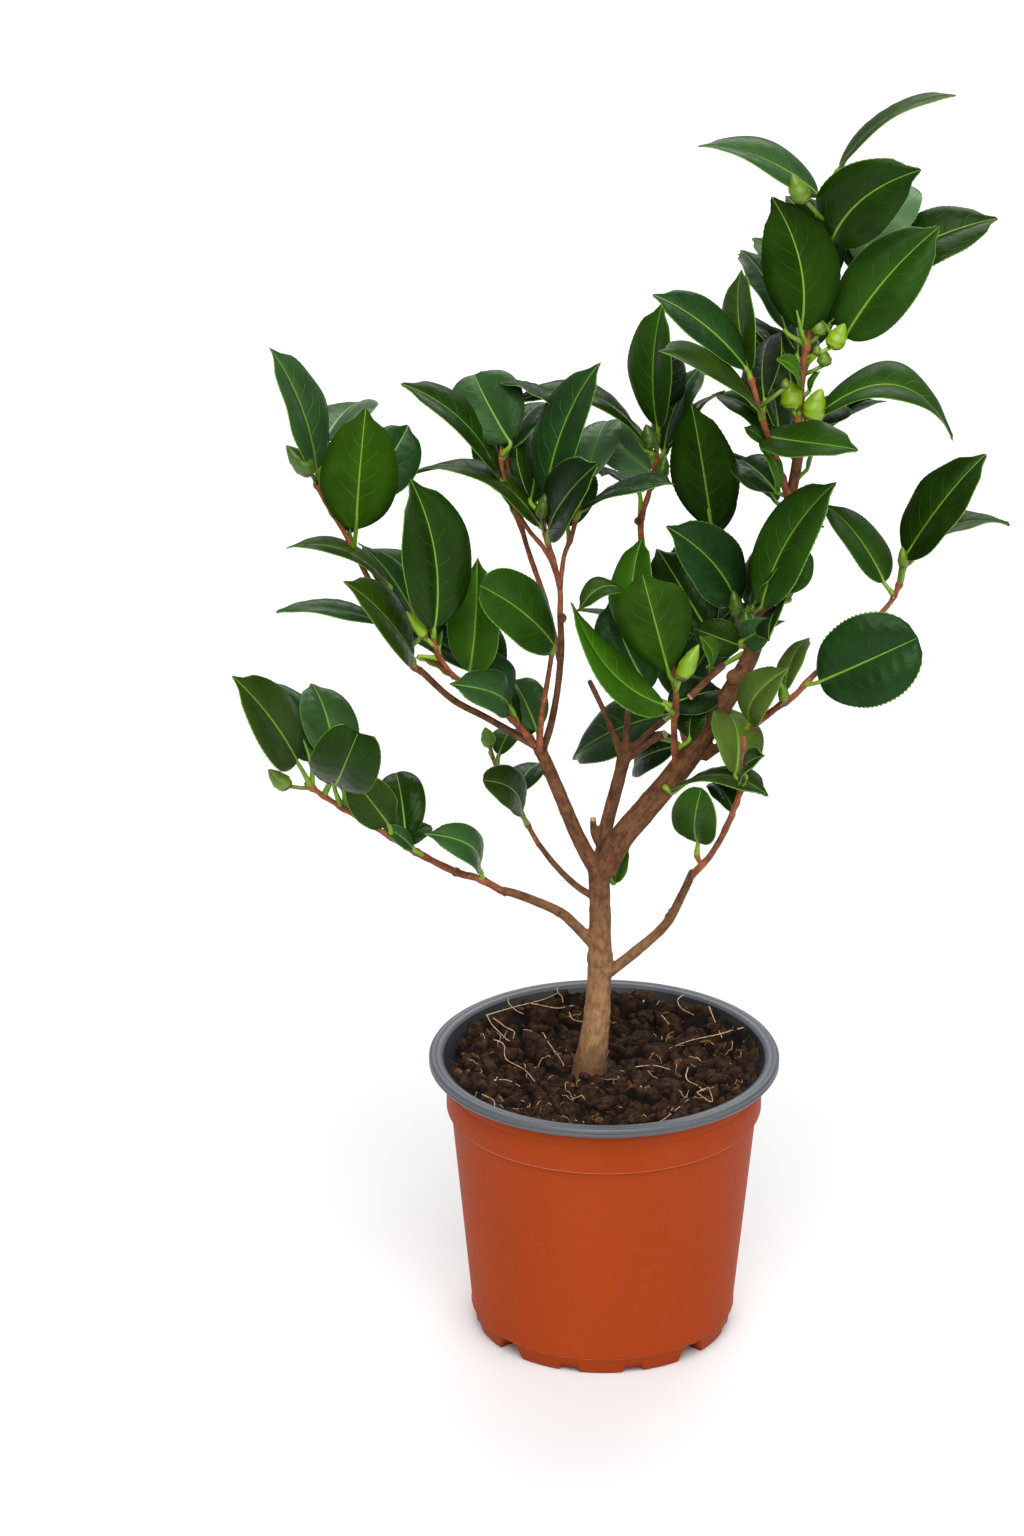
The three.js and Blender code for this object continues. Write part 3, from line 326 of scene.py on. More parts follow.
    },
    "middle": {
        "tones": "light bright bright olive blue deep blue deep dark",
        "twigs": [
            limb("676 766 -4, 674 726 -14, 676 692 -23, 668 650 -20, 652 610 -14", "2.9 2.6 2.4 2 1.6"),
        ],
        "leaves": [
            leaf(669, 674, 642, 573, 76, face="under", lies=FRONT, bow=-3,
                 look=dict(sway=0, shape=(0.95, 0.55))),
            leaf(665, 706, 573, 600, 40, lies=FRONT, look=dict(sway=-9, bow=-3, wide=36, deep=-3)),
            leaf(645, 640, 640, 537, 38, lies=BACK, look=dict(foot=(637, 645), wide=42, sway=0)),
            leaf(640, 590, 579, 611, 22, bow=8, long=30, look=dict(foot=(626, 592), bow=6)),
            leaf(663, 700, 605, 600, 45, lies=BACK,
                 look=dict(foot=(650, 690), tip=(612, 598), wide=64, sway=-2)),
            leaf(668, 705, 722, 690, 40, lies=BACK, long=34, look=dict(deep=9)),
            leaf(672, 714, 569, 757, 50, lies=BACK, look=dict(root=(656, 727, 16), deep=8, tilt=6)),
            leaf(674, 735, 632, 766, 35, lies=BACK, long=32,
                 look=dict(foot=(678, 746), tip=(631, 767), root=(660, 737, 7), deep=6, tilt=8)),
            leaf(690, 738, 700, 702, 30, lies=BACK, long=28),
        ],
        "extra": [
            leaf(615, 882, 628, 848, 17, long=15, tone="light", root=(607, 872, 4), lies=BACK, bow=1),
        ],
        "buds": [leaf(679, 681, 699, 644, 6.8, tone="bright", out=2), leaf(676, 687, 676, 677, 3.6)],
        "more": 3, "seed": 79,
    },
    "centre_right": {
        "tones": "dark blue olive light",
        "twigs": [
            limb("752 658 -1, 741 632 6, 737 603 13, 727 576 22", "2.6 2.2 1.9 1.6"),
        ],
        "leaves": [
            leaf(709, 633, 657, 547, 60, lies=BACK),
            leaf(733, 600, 668, 527, 60, lies=BACK,
                 look=dict(foot=(736, 603), wide=62, lies=FRONT, sway=2.5)),
            leaf(741, 646, 693, 628, 38, lies=FRONT, long=30),
            leaf(708, 668, 702, 637, 14, lies=FRONT, long=20),
        ],
        "extra": [
            leaf(743, 640, 776, 620, 34, long=18, tone="grey", lies=FRONT, bow=2, shape=(0.5, 0.9),
                 root=(741, 646, -6), deep=-5),
        ],
        "buds": [leaf(738, 617, 733, 590, 6, tone="deep", out=2),
                 leaf(746, 630, 746, 610, 6, tone="deep", out=2), leaf(754, 613, 754, 603, 3.6)],
        "more": 3, "seed": 83,
    },
    "right_middle": {
        "tones": "green blue green deep",
        "twigs": [
            limb("768 600 -2, 770 590 -7, 775 570 -13, 781 550 -16", "2.2 2 1.9 1.6"),
        ],
        "leaves": [
            leaf(762, 607, 836, 482, 50, lies=FRONT, look=dict(sway=-3, wide=58, deep=-8)),
            leaf(777, 560, 815, 503, 40, lies=BACK, long=36, look=dict(deep=6, tilt=6)),
            leaf(780, 592, 812, 538, 50, lies=BACK, long=40),
            leaf(790, 600, 768, 640, 25, lies=FRONT, long=24, look=dict(deep=9, wide=15)),
        ],
        "extra": [
            leaf(763, 596, 799, 553, 9, lies=FRONT, long=26, tone="olive"),
        ],
        "more": 2, "seed": 89,
    },
    "right": {
        "tones": "blue sage sage green dark olive",
        "twigs": [
            limb(
                "737 737 -10, 763 718 -13, 779 706 -15, 795 695 -15, 813 676 -12, 848 645 0, 882 612 12, "
                "893 598 16, 903 576 19",
                "3.1 2.8 2.6 2.4 2.2 2.1 2 1.9 1.7"),
        ],
        "leaves": [
            leaf(819, 682, 917, 638, 92, lies=FRONT, long=42, bow=2,
                 look=dict(blunt=True, teeth=0.45, quilt=0.34)),
            leaf(750, 722, 788, 668, 40, lies=FRONT, long=32, bow=6),
            leaf(786, 690, 809, 637, 22, lies=BACK, long=30),
            leaf(884, 583, 824, 500, 38, lies=BACK),
            leaf(905, 558, 984, 453, 52),
            leaf(910, 563, 1009, 522, 20, bow=7),
        ],
        "buds": [leaf(903, 568, 902, 546, 4.4), leaf(784, 703, 781, 682, 4.4)],
        "more": 4, "seed": 97,
    },
    "low_right": {
        "tones": "olive green dark sage dark",
        "twigs": [
            limb(
                "690 877 -21, 703 864 -23, 712 853 -24, 725 830 -27, 741 789 -30, 743 762 -30, "
                "744 736 -30",
                "3.1 2.8 2.5 2.3 2.2 2.1 1.8"),
            limb("702 866 -23, 697 856 -25, 697 846 -26", "1.9 1.8 1.6"),
        ],
        "leaves": [
            leaf(748, 783, 673, 793, 17, bow=7, long=34,
                 look=dict(foot=(673, 793), tip=(768, 793), root=(664, 786, -7), long=47, lies=FRONT)),
            leaf(698, 842, 701, 790, 46, lies=FRONT, long=32, look=dict(blunt=True)),
            leaf(733, 812, 710, 783, 25, lies=BACK, long=26),
            leaf(735, 775, 722, 705, 45, lies=BACK, long=38, look=dict(long=47, bow=5, wide=48)),
            leaf(746, 778, 763, 755, 12, lies=FRONT, long=16),
        ],
        "more": 3, "seed": 101,
    },
    "back_left": {
        "twigs": [
            limb("564 800 -1, 535 745 24, 505 690 46, 470 640 62, 445 590 74", "2.8 2.5 2.2 1.9 1.6"),
        ],
        "more": 6, "seed": 211,
    },
    "back_upper_left": {
        "twigs": [
            limb("560 660 9, 545 600 42, 525 540 62, 508 470 78, 503 430 84", "2.5 2.3 2 1.8 1.5"),
        ],
        "more": 6, "seed": 223,
    },
    "back_middle": {
        "twigs": [
            limb("690 757 -1, 680 720 28, 672 670 50, 668 620 68, 672 580 80", "3 2.6 2.3 2 1.6"),
        ],
        "more": 7, "seed": 227,
    },
    "back_right": {
        "twigs": [
            limb("786 540 0, 787 520 24, 790 500 42, 796 470 60, 803 430 74", "2.6 2.4 2.1 1.9 1.5"),
        ],
        "more": 5, "seed": 229,
    },
    "back_crown": {
        "twigs": [
            limb("798 446 0, 797 420 24, 805 370 42, 822 310 58, 835 260 68", "2.4 2.2 2 1.8 1.5"),
        ],
        "more": 6, "seed": 233,
    },
}

# Knobs and pruned ends of the bark: pixel and depth, and the size of a knob.
KNOBS = (
    (734, 677, -6.5, 3.1), (600, 957, 0, 5.2), (562, 618, 15, 2), (638, 521, 43, 1.7), (456, 872, -22, 2),
    (599, 866, 0, 4.9),
)
CUTS = ((689, 698, -11), (666, 733, 5), (667, 718, 17), (593, 817, 4))
# Leaf scars: pixel and depth of the skin that shows.
SCARS = (
    (650, 807, -7), (638, 822, -7), (619, 847, -6), (599, 908, -5), (590, 872, -4), (566, 815, -5),
    (612, 806, 2), (700, 740, -8), (739, 668, -6), (544, 772, -5), (610, 1046, -6), (612, 963, -6),
    (668, 914, -15), (560, 914, -8),
)

# The longer pale roots that lie on the peat, by the pixels that they pass.
ROOT_HAIRS = (
    ((556, 981), (558, 991), (562, 996), (563, 1003)), ((486, 1014), (513, 1006), (544, 998), (559, 991)),
    ((511, 992), (508, 1000), (515, 1009), (524, 1014)), ((487, 1014), (492, 1024), (504, 1037), (510, 1040)),
    ((493, 1016), (504, 1026), (514, 1031), (513, 1038)),
    ((494, 1038), (504, 1045), (506, 1058), (524, 1068), (535, 1080)),
    ((542, 1031), (548, 1044), (558, 1055), (564, 1065)), ((499, 1078), (510, 1080), (520, 1085)),
    ((688, 991), (678, 998), (681, 1007), (694, 1014)), ((709, 1005), (715, 1021), (722, 1037)),
    ((744, 1026), (718, 1034), (690, 1040), (669, 1047)), ((661, 1013), (669, 1024)),
    ((688, 1100), (673, 1113), (654, 1123)), ((708, 1086), (697, 1093), (712, 1100), (709, 1088)),
    ((688, 1066), (687, 1078), (704, 1089)), ((482, 1093), (493, 1099), (495, 1107)),
    ((531, 1002), (555, 1007), (574, 1004)), ((569, 1010), (573, 1019), (589, 1021)),
    ((631, 1066), (653, 1064), (670, 1068)),
)

# The joined pieces of leaves, and the masses in each.
GROUPS = {
    "crown": ("crown", "crown_left", "upper_middle", "back_crown", "back_right"),
    "left": ("centre_left", "upper_left", "left_middle", "inner_left", "back_upper_left"),
    "low": ("low_left", "low_middle", "low_right", "back_left", "middle"),
    "right": ("centre_right", "right_middle", "right", "back_middle"),
}


# Places

def seen(across, down, depth):
    """The point that shows at a pixel and lies this far behind the pot's axis."""
    ray = AHEAD + RIGHT * ((across - IMAGE[0] / 2) / FOCAL) + UP * ((IMAGE[1] / 2 - down) / FOCAL)
    return EYE + ray * ((depth - EYE.y) / ray.y)


def shown_at(point):
    """The pixel where a point shows."""
    out = point - EYE
    scale = FOCAL / out.dot(AHEAD)
    return IMAGE[0] / 2 + scale * out.dot(RIGHT), IMAGE[1] / 2 - scale * out.dot(UP)


def curve_at(points, share):
    """A point on the smooth curve through all the points."""
    last = len(points) - 1
    at = share * last
    low = min(int(at), last - 1)
    t = at - low
    before = points[low - 1] if low > 0 else points[0] * 2 - points[1]
    after = points[low + 2] if low + 2 <= last else points[last] * 2 - points[last - 1]
    start, end = points[low], points[low + 1]
    leave = (end - before) / 2
    arrive = (after - start) / 2
    bend = (end - start) * 3 - leave * 2 - arrive
    close = (start - end) * 2 + leave + arrive
    return start + leave * t + bend * t ** 2 + close * t ** 3


def curve_length(points):
    """How long that curve is."""
    stops = [curve_at(points, i / 200) for i in range(201)]
    return sum((b - a).length for a, b in zip(stops, stops[1:]))


def size_at(sizes, share):
    """The value of a list of sizes at a share of its length."""
    at = min(share * (len(sizes) - 1), len(sizes) - 1.0001)
    low = int(at)
    return sizes[low] + (sizes[low + 1] - sizes[low]) * (at - low)


def whole(number):
    """The nearest whole number."""
    return math.floor(number + 0.5)


def draw_from(seed):
    """The same draws every time, between 0 and 1, by the source's rule."""
    state = seed
    while True:
        state = state * 16807 % 2147483647
        yield state / 2147483647


def smooth_step(low, high, value):
    """A soft step from 0 to 1."""
    t = min(1, max(0, (value - low) / (high - low)))
    return t * t * (3 - 2 * t)


# Meshes

def flat_grid(bm, columns, rows):
    """A flat grid with this many faces each way: its corners and its faces."""
    verts = bmesh.ops.create_grid(bm, x_segments=columns, y_segments=rows, size=1)["verts"]
    return verts, list({face for vert in verts for face in vert.link_faces})


def skin(bm, rows, around, place):
    """A skin wrapped round from a grid. place gives the spot of each row and turn."""
    verts, faces = flat_grid(bm, around, rows - 1)
    for vert in verts:
        row = whole((vert.co.y + 1) / 2 * (rows - 1))
        turn = whole((vert.co.x + 1) / 2 * around)
        vert.co = place(row, turn % around)
    bmesh.ops.remove_doubles(bm, verts=verts, dist=0.0005)
    faces = [face for face in faces if face.is_valid]
    bmesh.ops.recalc_face_normals(bm, faces=faces)
    for face in faces:
        face.smooth = True
    return faces


def carried(points):
    """For each point of a path its way on and two ways across, carried along without a twist."""
    last = len(points) - 1
    ways = [(points[min(i + 1, last)] - points[max(i - 1, 0)]).normalized() for i in range(last + 1)]
    across = ways[0].orthogonal().normalized()
    frames = []
    for way in ways:
        across = (across - way * across.dot(way)).normalized()
        frames.append((way, across, way.cross(across)))
    return frames


def tube(bm, points, sizes, around, relief=None):
    """A closed tube along a path, with a radius for each point. relief swells it by its place."""
    frames = carried(points)
    count = len(points)

    def place(row, turn):
        i = min(max(row - 1, 0), count - 1)
        if row in (0, count + 1):
            return points[i]
        angle = 2 * math.pi * turn / around
        swell = relief(i, angle) if relief else 1
        _, across, other = frames[i]
        return points[i] + (across * math.cos(angle) + other * math.sin(angle)) * sizes[i] * swell

    return skin(bm, count + 2, around, place)


def spun(profile, steps, soften=0):
    """A bmesh of a closed profile of radius and height, turned about the upright axis."""
    bm = bmesh.new()
    rings = []
    for step in range(steps):
        turned = 2 * math.pi * step / steps
        across, ahead = math.cos(turned), math.sin(turned)
        rings.append([bm.verts.new((radius * across, radius * ahead, height)) for radius, height in profile])
    for near, far in zip(rings, rings[1:] + rings[:1]):
        for i in range(len(profile)):
            bm.faces.new((near[i - 1], near[i], far[i], far[i - 1]))
    bmesh.ops.remove_doubles(bm, verts=bm.verts, dist=0.001)
    bmesh.ops.recalc_face_normals(bm, faces=bm.faces)
    if soften:
        sharp = [edge for edge in bm.edges if edge.calc_face_angle(0) > 0.42]
        bmesh.ops.bevel(bm, geom=sharp, offset=soften, segments=2, profile=0.5, affect="EDGES", material=-1,
                        clamp_overlap=True)
    for face in bm.faces:
        face.smooth = True
    return bm


def mesh_of(bm, name):
    """The mesh of a bmesh, which is freed."""
    mesh = bpy.data.meshes.new(name)
    bm.to_mesh(mesh)
    bm.free()
    return mesh


def placed(name, data):
    """A mesh, light or camera as an object in the scene."""
    made = bpy.data.objects.new(name, data)
    bpy.context.scene.collection.objects.link(made)
    return made


def piece(name, bm, materials, nodes=()):
    """The finished mesh as an object that rides on the plant and stands for its CAD nodes."""
    bmesh.ops.transform(bm, matrix=Matrix.Scale(MM, 4), verts=bm.verts)
    made = placed(name, mesh_of(bm, name))
    for material in materials:
        made.data.materials.append(material)
    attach(made, "root")
    if nodes:
        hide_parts(*nodes)
    return made


# Finishes

def paint(red, green, blue):
    """A colour as the eye reads it on a screen, as the shader needs it."""
    levels = [level / 255 for level in (red, green, blue)]
    return tuple(v / 12.92 if v <= 0.04045 else ((v + 0.055) / 1.055) ** 2.4 for v in levels) + (1,)


class Finish:
    """A material with a few short ways to add nodes to it."""

    def __init__(self, name, rough, specular):
        self.material = bpy.data.materials.new(name)
        self.material.use_nodes = True
        self.tree = self.material.node_tree
        self.shader = self.tree.nodes["Principled BSDF"]
        self.shader.inputs["Roughness"].default_value = rough
        self.shader.inputs["Specular IOR Level"].default_value = specular

    def add(self, kind, links=None, **settings):
        node = self.tree.nodes.new("ShaderNode" + kind)
        for key, value in settings.items():
            setattr(node, key, value)
        for socket, value in (links or {}).items():
            self.set(node.inputs[socket], value)
        return node

    def set(self, socket, value):
        if isinstance(value, bpy.types.NodeSocket):
            self.tree.links.new(value, socket)
        else:
            socket.default_value = value

    def place(self):
        """The spot on the piece, in metres."""
        return self.add("TexCoord").outputs["Object"]

    def stretched(self, scale, spot):
        return self.add("Mapping", {"Vector": spot, "Scale": scale}).outputs["Vector"]

    def cloud(self, spot, scale, detail=3, rough=0.5):
        made = self.add("TexNoise", {"Vector": spot, "Scale": scale, "Detail": detail, "Roughness": rough})
        return made.outputs["Fac"]

    def step(self, value, low, high, out_low=0, out_high=1):
        made = self.add("MapRange", {"Value": value, "From Min": low, "From Max": high, "To Min": out_low,
                                     "To Max": out_high}, interpolation_type="SMOOTHSTEP")
        return made.outputs["Result"]

    def math(self, operation, *values):
        return self.add("Math", dict(enumerate(values)), operation=operation).outputs[0]

    def times(self, first, second):
        return self.math("MULTIPLY", first, second)

    def attribute(self, name, kind="Fac"):
        return self.add("Attribute", attribute_name=name).outputs[kind]

    def blend(self, share, first, second):
        return self.add("Mix", {0: share, 6: first, 7: second}, data_type="RGBA").outputs[2]

    def between(self, value, low, high, first, second):
        """One colour where the value is low, another where it is high."""
        return self.blend(self.step(value, low, high), paint(*first), paint(*second))

    def over(self, base, value, low, high, most, colour):
        """A colour laid over the base where the value is high, up to this share."""
        return self.blend(self.step(value, low, high, 0, most), base, paint(*colour))

    def colour(self, value):
        self.set(self.shader.inputs["Base Color"], value)

    def roughness(self, value):
        self.set(self.shader.inputs["Roughness"], value)

    def bump(self, height, deep, strength=1):
        """Relief of this depth in metres."""
        below = self.shader.inputs["Normal"]
        links = {"Height": height, "Distance": deep, "Strength": strength}
        if below.is_linked:
            links["Normal"] = below.links[0].from_socket
        self.set(below, self.add("Bump", links).outputs["Normal"])


# Growing, by the source's rule

# How far back a leaf's tip is tried, and how small. Where a blade's four widest corners are, and how near to
# the mass's surface they have to be. The step along a twig.
SHIFTS = (0, 5, -5, 10, -10, 15, -15, 20, -20, 26, -26, 32, -32)
SHRINKS = (1, 0.86, 0.72)
CORNERS = ((0.26, 0.86), (0.62, 0.86))
HOLD = 0.4
TWIG_STEP = 1.5

# Leaves on the far side: tries for each, the turn from one to the next, the stalk, the distance between two
# midribs, how many more than the table says, and what they look like. The last two are pixels: how far from a
# shown leaf a corner is free, and how far round a corner leaves are looked for.
TRIES = 60
SPIRAL = 137.5
STALK = 7
APART = 9
SPARE = 2
FAR_TONES = ("dark", "deep", "blue", "green")
FREE = 3
AROUND = 60


class Lie:
    """Where a leaf's blade lies: from its foot to its tip, with the way that its upper side faces."""

    def __init__(self, root, foot, along, reach, wide, upper, bow):
        self.root, self.foot, self.along, self.reach = root, foot, along, reach
        self.wide, self.upper, self.bow = wide, upper, bow
        self.side = along.cross(upper).normalized()

    def midrib(self, share):
        lift = self.bow * 4 * share * (1 - share)
        return self.foot + self.along * (self.reach * share) + self.upper * lift


def blade(leaf, root, foot_depth, shift):
    """A shown leaf's blade. One that shows short points toward the camera or away by what it lacks."""
    foot = seen(*leaf["foot"], foot_depth)
    flat = seen(*leaf["tip"], foot_depth)
    long = leaf.get("long", LEAF["long"])
    shows = (foot - flat).length
    hides = math.sqrt(max(0, long * long - shows * shows)) * leaf.get("lies", 0)
    tip = seen(*leaf["tip"], foot_depth + hides * 0.8 + shift)
    along = tip - foot
    reach = along.length
    along.normalize()
    level = along.cross((EYE - foot).normalized()).normalized()
    facing = level.cross(along).normalized()
    shown = leaf["wide"] / (FOCAL / (EYE - foot).length)
    wide = max(shown, LEAF["slim"] * max(long * 0.9, reach))
    turn = math.acos(min(1, shown / wide))
    if leaf.get("face") == "under":
        turn = math.pi - turn
    if (level.z < 0) != leaf.get("flip", False):
        turn = -turn
    upper = (facing * math.cos(turn) + level * math.sin(turn)).normalized()
    return Lie(root, foot, along, reach, wide, upper, leaf.get("bow", 3))


def shrunk(leaf, size):
    """A leaf made smaller, about its foot."""
    tip = [foot + (tip - foot) * size for foot, tip in zip(leaf["foot"], leaf["tip"])]
    return leaf | {"tip": tip, "wide": leaf["wide"] * size, "long": leaf.get("long", LEAF["long"]) * size}


def traced(twig):
    """Points along a twig, about a millimetre and a half apart, with the pixels where they show."""
    route = [seen(*at) for at in twig["route"]]
    count = whole(curve_length(route) / TWIG_STEP)
    points = [curve_at(route, i / count) for i in range(2, count + 1)]
    return points, [shown_at(point) for point in points]


def root_of(traces, foot):
    """The point of the twigs that shows nearest to a leaf's foot, then a little lower."""
    back = whole(LEAF["join"] / TWIG_STEP)
    near = [(math.dist(pixel, foot), t, i) for t, (_, pixels) in enumerate(traces)
            for i, pixel in enumerate(pixels)]
    _, t, i = min(near, key=lambda found: found[0])
    return traces[t][0][max(0, i - back)]


def is_held(lie, solid):
    """Whether the source put a leaf here: its four widest corners are on the mass's surface."""
    for share, width in CORNERS:
        half = lie.wide * width / 2
        for sign in (-1, 1):
            corner = lie.midrib(share) + lie.side * (sign * half) + lie.upper * (half * LEAF["fold"])
            if solid.find_nearest(corner, HOLD)[0] is None:
                return False
    return True


def laid(leaf, root, size=1, shift=0):
    """A shown leaf's blade at a size and a shift, a little before or behind its root."""
    near = root.y + leaf.get("lies", 0) * 3 + leaf.get("deep", 0) + shift * 0.3
    return blade(shrunk(leaf, size), root, near, shift + leaf.get("tilt", 0))


def shown_leaves(mass, traces, solid):
    """The leaves of the table where the source found room for them, drawn with what their look adds."""
    for leaf, tone in zip(mass.get("leaves", []), mass.get("tones", "").split()):
        root = root_of(traces, leaf["foot"])
        tries = ((size, shift) for size in SHRINKS for shift in SHIFTS)
        fit = next((fit for fit in tries if is_held(laid(leaf, root, *fit), solid)), (1, 0))
        look = leaf | leaf.get("look", {})
        if "root" in look:
            root = seen(*look["root"])
        yield laid(look, root, *fit), tone, look
    for leaf in mass.get("extra", []):
        root = seen(*leaf["root"]) if "root" in leaf else root_of(traces, leaf["foot"])
        yield laid(leaf, root), leaf["tone"], leaf


def stations(lie):
    """Places along a blade's midrib, each with the way out to its edge."""
    for share in (0.1, 0.25, 0.4, 0.55, 0.7, 0.85, 0.97):
        yield lie.midrib(share), lie.side * (lie.wide / 2 * half_width(share, OVAL, 0))


def marks_of(lie):
    """Where a blade shows: pixels along its midrib, with how wide and how far off it is there."""
    return [(shown_at(spot), math.dist(shown_at(spot), shown_at(spot + edge)), (spot - EYE).dot(AHEAD))
            for spot, edge in stations(lie)]


def stays_behind(lie, marks):
    """Whether a blade stands behind the shown ones and doesn't reach past them, as the camera sees it."""
    for spot, edge in stations(lie):
        for corner in (spot, spot - edge, spot + edge):
            pixel, away = shown_at(corner), (corner - EYE).dot(AHEAD)
            gaps = [(math.dist(pixel, other) - reach, far) for other, reach, far in marks
                    if abs(pixel[0] - other[0]) < AROUND]
            if all(gap > FREE for gap, _ in gaps) or any(gap < 0 and away < far + 1 for gap, far in gaps):
                return False
    return True


def far_leaves(mass, traces, solid, marks, taken):
    """Leaves round the twigs in a spiral on the far side: the source's, then others that have room there."""
    draw = draw_from(mass["seed"])
    spiral = next(draw) * 360
    found, kept, spare = 0, [], []
    count = mass.get("more", 0)
    for _ in range(count * TRIES):
        points = traces[int(next(draw) * len(traces))][0]
        at = int((0.25 + 0.75 * next(draw)) * (len(points) - 1))
        root = points[at]
        twig = (root - points[max(0, at - 3)]).normalized()
        spiral += SPIRAL
        turn = math.radians(spiral)
        rise = 0.25 + 0.5 * next(draw)
        long = LEAF["long"] * (0.72 + 0.3 * next(draw))
        out = Vector((math.cos(turn), math.sin(turn), rise)).normalized()
        along = (out + twig * 0.45).normalized()
        if along.y < -0.1:
            continue
        level = Vector((0, 0, 1)).cross(along).normalized()
        upper = (along.cross(level).normalized() + level * (next(draw) - 0.5)).normalized()
        upper = (upper - along * upper.dot(along)).normalized()
        lie = Lie(root, root + along * STALK, along, long, long * LEAF["slim"], upper, 3 + 4 * next(draw))
        own = found < count and is_held(lie, solid)
        found += own
        if stays_behind(lie, marks):
            (kept if own else spare).append(lie)
    for lie in spare:
        if len(kept) < count + SPARE and all((lie.midrib(0.6) - other).length > APART for other in taken):
            kept.append(lie)
            taken.append(lie.midrib(0.6))
    return [(lie, FAR_TONES[i % len(FAR_TONES)], {}) for i, lie in enumerate(kept)]


# Leaves

# A blade has this many rows, these columns on either side of its leaf, and one of these outlines.
ROWS = 48
UPPER = (-1, -0.965, -0.7, -0.38, -0.07, 0, 0.07, 0.38, 0.7, 0.965, 1)
UNDER = (-1, -0.62, -0.28, -0.07, 0, 0.07, 0.28, 0.62, 1)
ROLES = ("upper", "under", "rib", "margin")
OVAL, ROUND = (0.62, 0.78), (0.55, 0.46)


def blade_pattern():
    """A flat leaf as a mesh: x is the share across, y the share along, and z tells the upper side."""
    bm = bmesh.new()
    for columns, side in ((UPPER, 1), (UNDER, -1)):
        verts, faces = flat_grid(bm, len(columns) - 1, ROWS)
        if side < 0:
            bmesh.ops.reverse_faces(bm, faces=faces)
        for vert in verts:
            column = columns[whole((vert.co.x + 1) / 2 * (len(columns) - 1))]
            row = whole((vert.co.y + 1) / 2 * ROWS)
            inner = 0 < row < ROWS
            vert.co = (column if inner else 0, row, side if inner and abs(column) < 1 else 0)
        for face in faces:
            across = abs(sum(vert.co.x for vert in face.verts)) / len(face.verts)
            role = "rib" if across < 0.05 else "margin" if across > 0.95 else "upper" if side > 0 else "under"
            face.material_index = ROLES.index(role)
            face.smooth = True
    bmesh.ops.remove_doubles(bm, verts=bm.verts, dist=0.0001)
    flat = bm.loops.layers.uv.new("blade")
    for face in bm.faces:
        for loop in face.loops:
            loop[flat].uv = (loop.vert.co.x / 2 + 0.5, loop.vert.co.y / ROWS)
    return mesh_of(bm, "blade_pattern")


def half_width(share, shape, point):
    """The outline of the blade: two powers that fill out its foot and its end, and a drawn-out tip."""
    low, high = shape
    most = (low / (low + high)) ** low * (high / (low + high)) ** high
    return share ** low * (1 - share) ** high / most * (1 - point * smooth_step(0.84, 0.94, share))


def grow_blade(bm, pattern, lie, look):
    """A leaf's blade, shaped by its look: waves, a twist, curled edges, a hooked tip and fine teeth."""
    start, first = len(bm.verts), len(bm.faces)
    bm.from_mesh(pattern)
    bm.verts.ensure_lookup_table()
    bm.faces.ensure_lookup_table()
    rows = []
    for row in range(ROWS + 1):
        share = row / ROWS
        bent = look.sway * 4 * share * (1 - share)
        middle = lie.midrib(share) - lie.upper * (look.hook * share ** 5) + lie.side * bent
        way = lie.along * lie.reach + lie.upper * (lie.bow * 4 * (1 - 2 * share) - look.hook * 5 * share ** 4)
        way = (way + lie.side * (look.sway * 4 * (1 - 2 * share))).normalized()
        turn = Quaternion(way, look.twist * (share - 0.35))
        side = turn @ lie.side
        side = (side - way * side.dot(way)).normalized()
        up = side.cross(way).normalized()
        rows.append((share, middle, side, up, lie.wide / 2 * half_width(share, look.shape, look.point)))
    for vert in bm.verts[start:]:
        across, row, layer = vert.co
        share, middle, side, up, half = rows[int(row + 0.5)]
        off = abs(across)
        sign = 1 if across > 0 else -1
        if 0.9 < off < 1:
            reach = half - min(look.margin, 0.3 * half)
        elif 0 < off < 0.1:
            reach = min(look.rib * (1.05 - 0.8 * share), 0.3 * half)
        else:
            reach = off * half
        if off == 1:
            reach += look.teeth * (1 if row % 2 else -0.4) * smooth_step(0.08, 0.3, share)
        off = reach / half if half > 0 else 0
        lift = reach * look.fold + half * look.puff * math.sin(math.pi * min(1, off))
        lift -= half * look.curl * off ** 3
        lift += look.wave * off ** 2 * math.sin(2 * math.pi * (look.waves * share + look.phase + sign * 0.2))
        vein = math.sin(2 * math.pi * (8.5 * share - 2.2 * off))
        lift += look.quilt * vein * off * (1 - off) * 4 * min(1, half / 6)
        lift += layer * look.thick
        if across == 0 and layer > 0:
            lift -= 0.16
        if across == 0 and layer < 0:
            lift -= 0.5 * (1 - share)
        ahead = look.notch * min(1, off) * smooth_step(0.55, 0.97, share)
        vert.co = middle + side * (sign * reach) + up * lift + lie.along * ahead
    for face in bm.faces[first:]:
        face.material_index = look.slots[ROLES[face.material_index]]


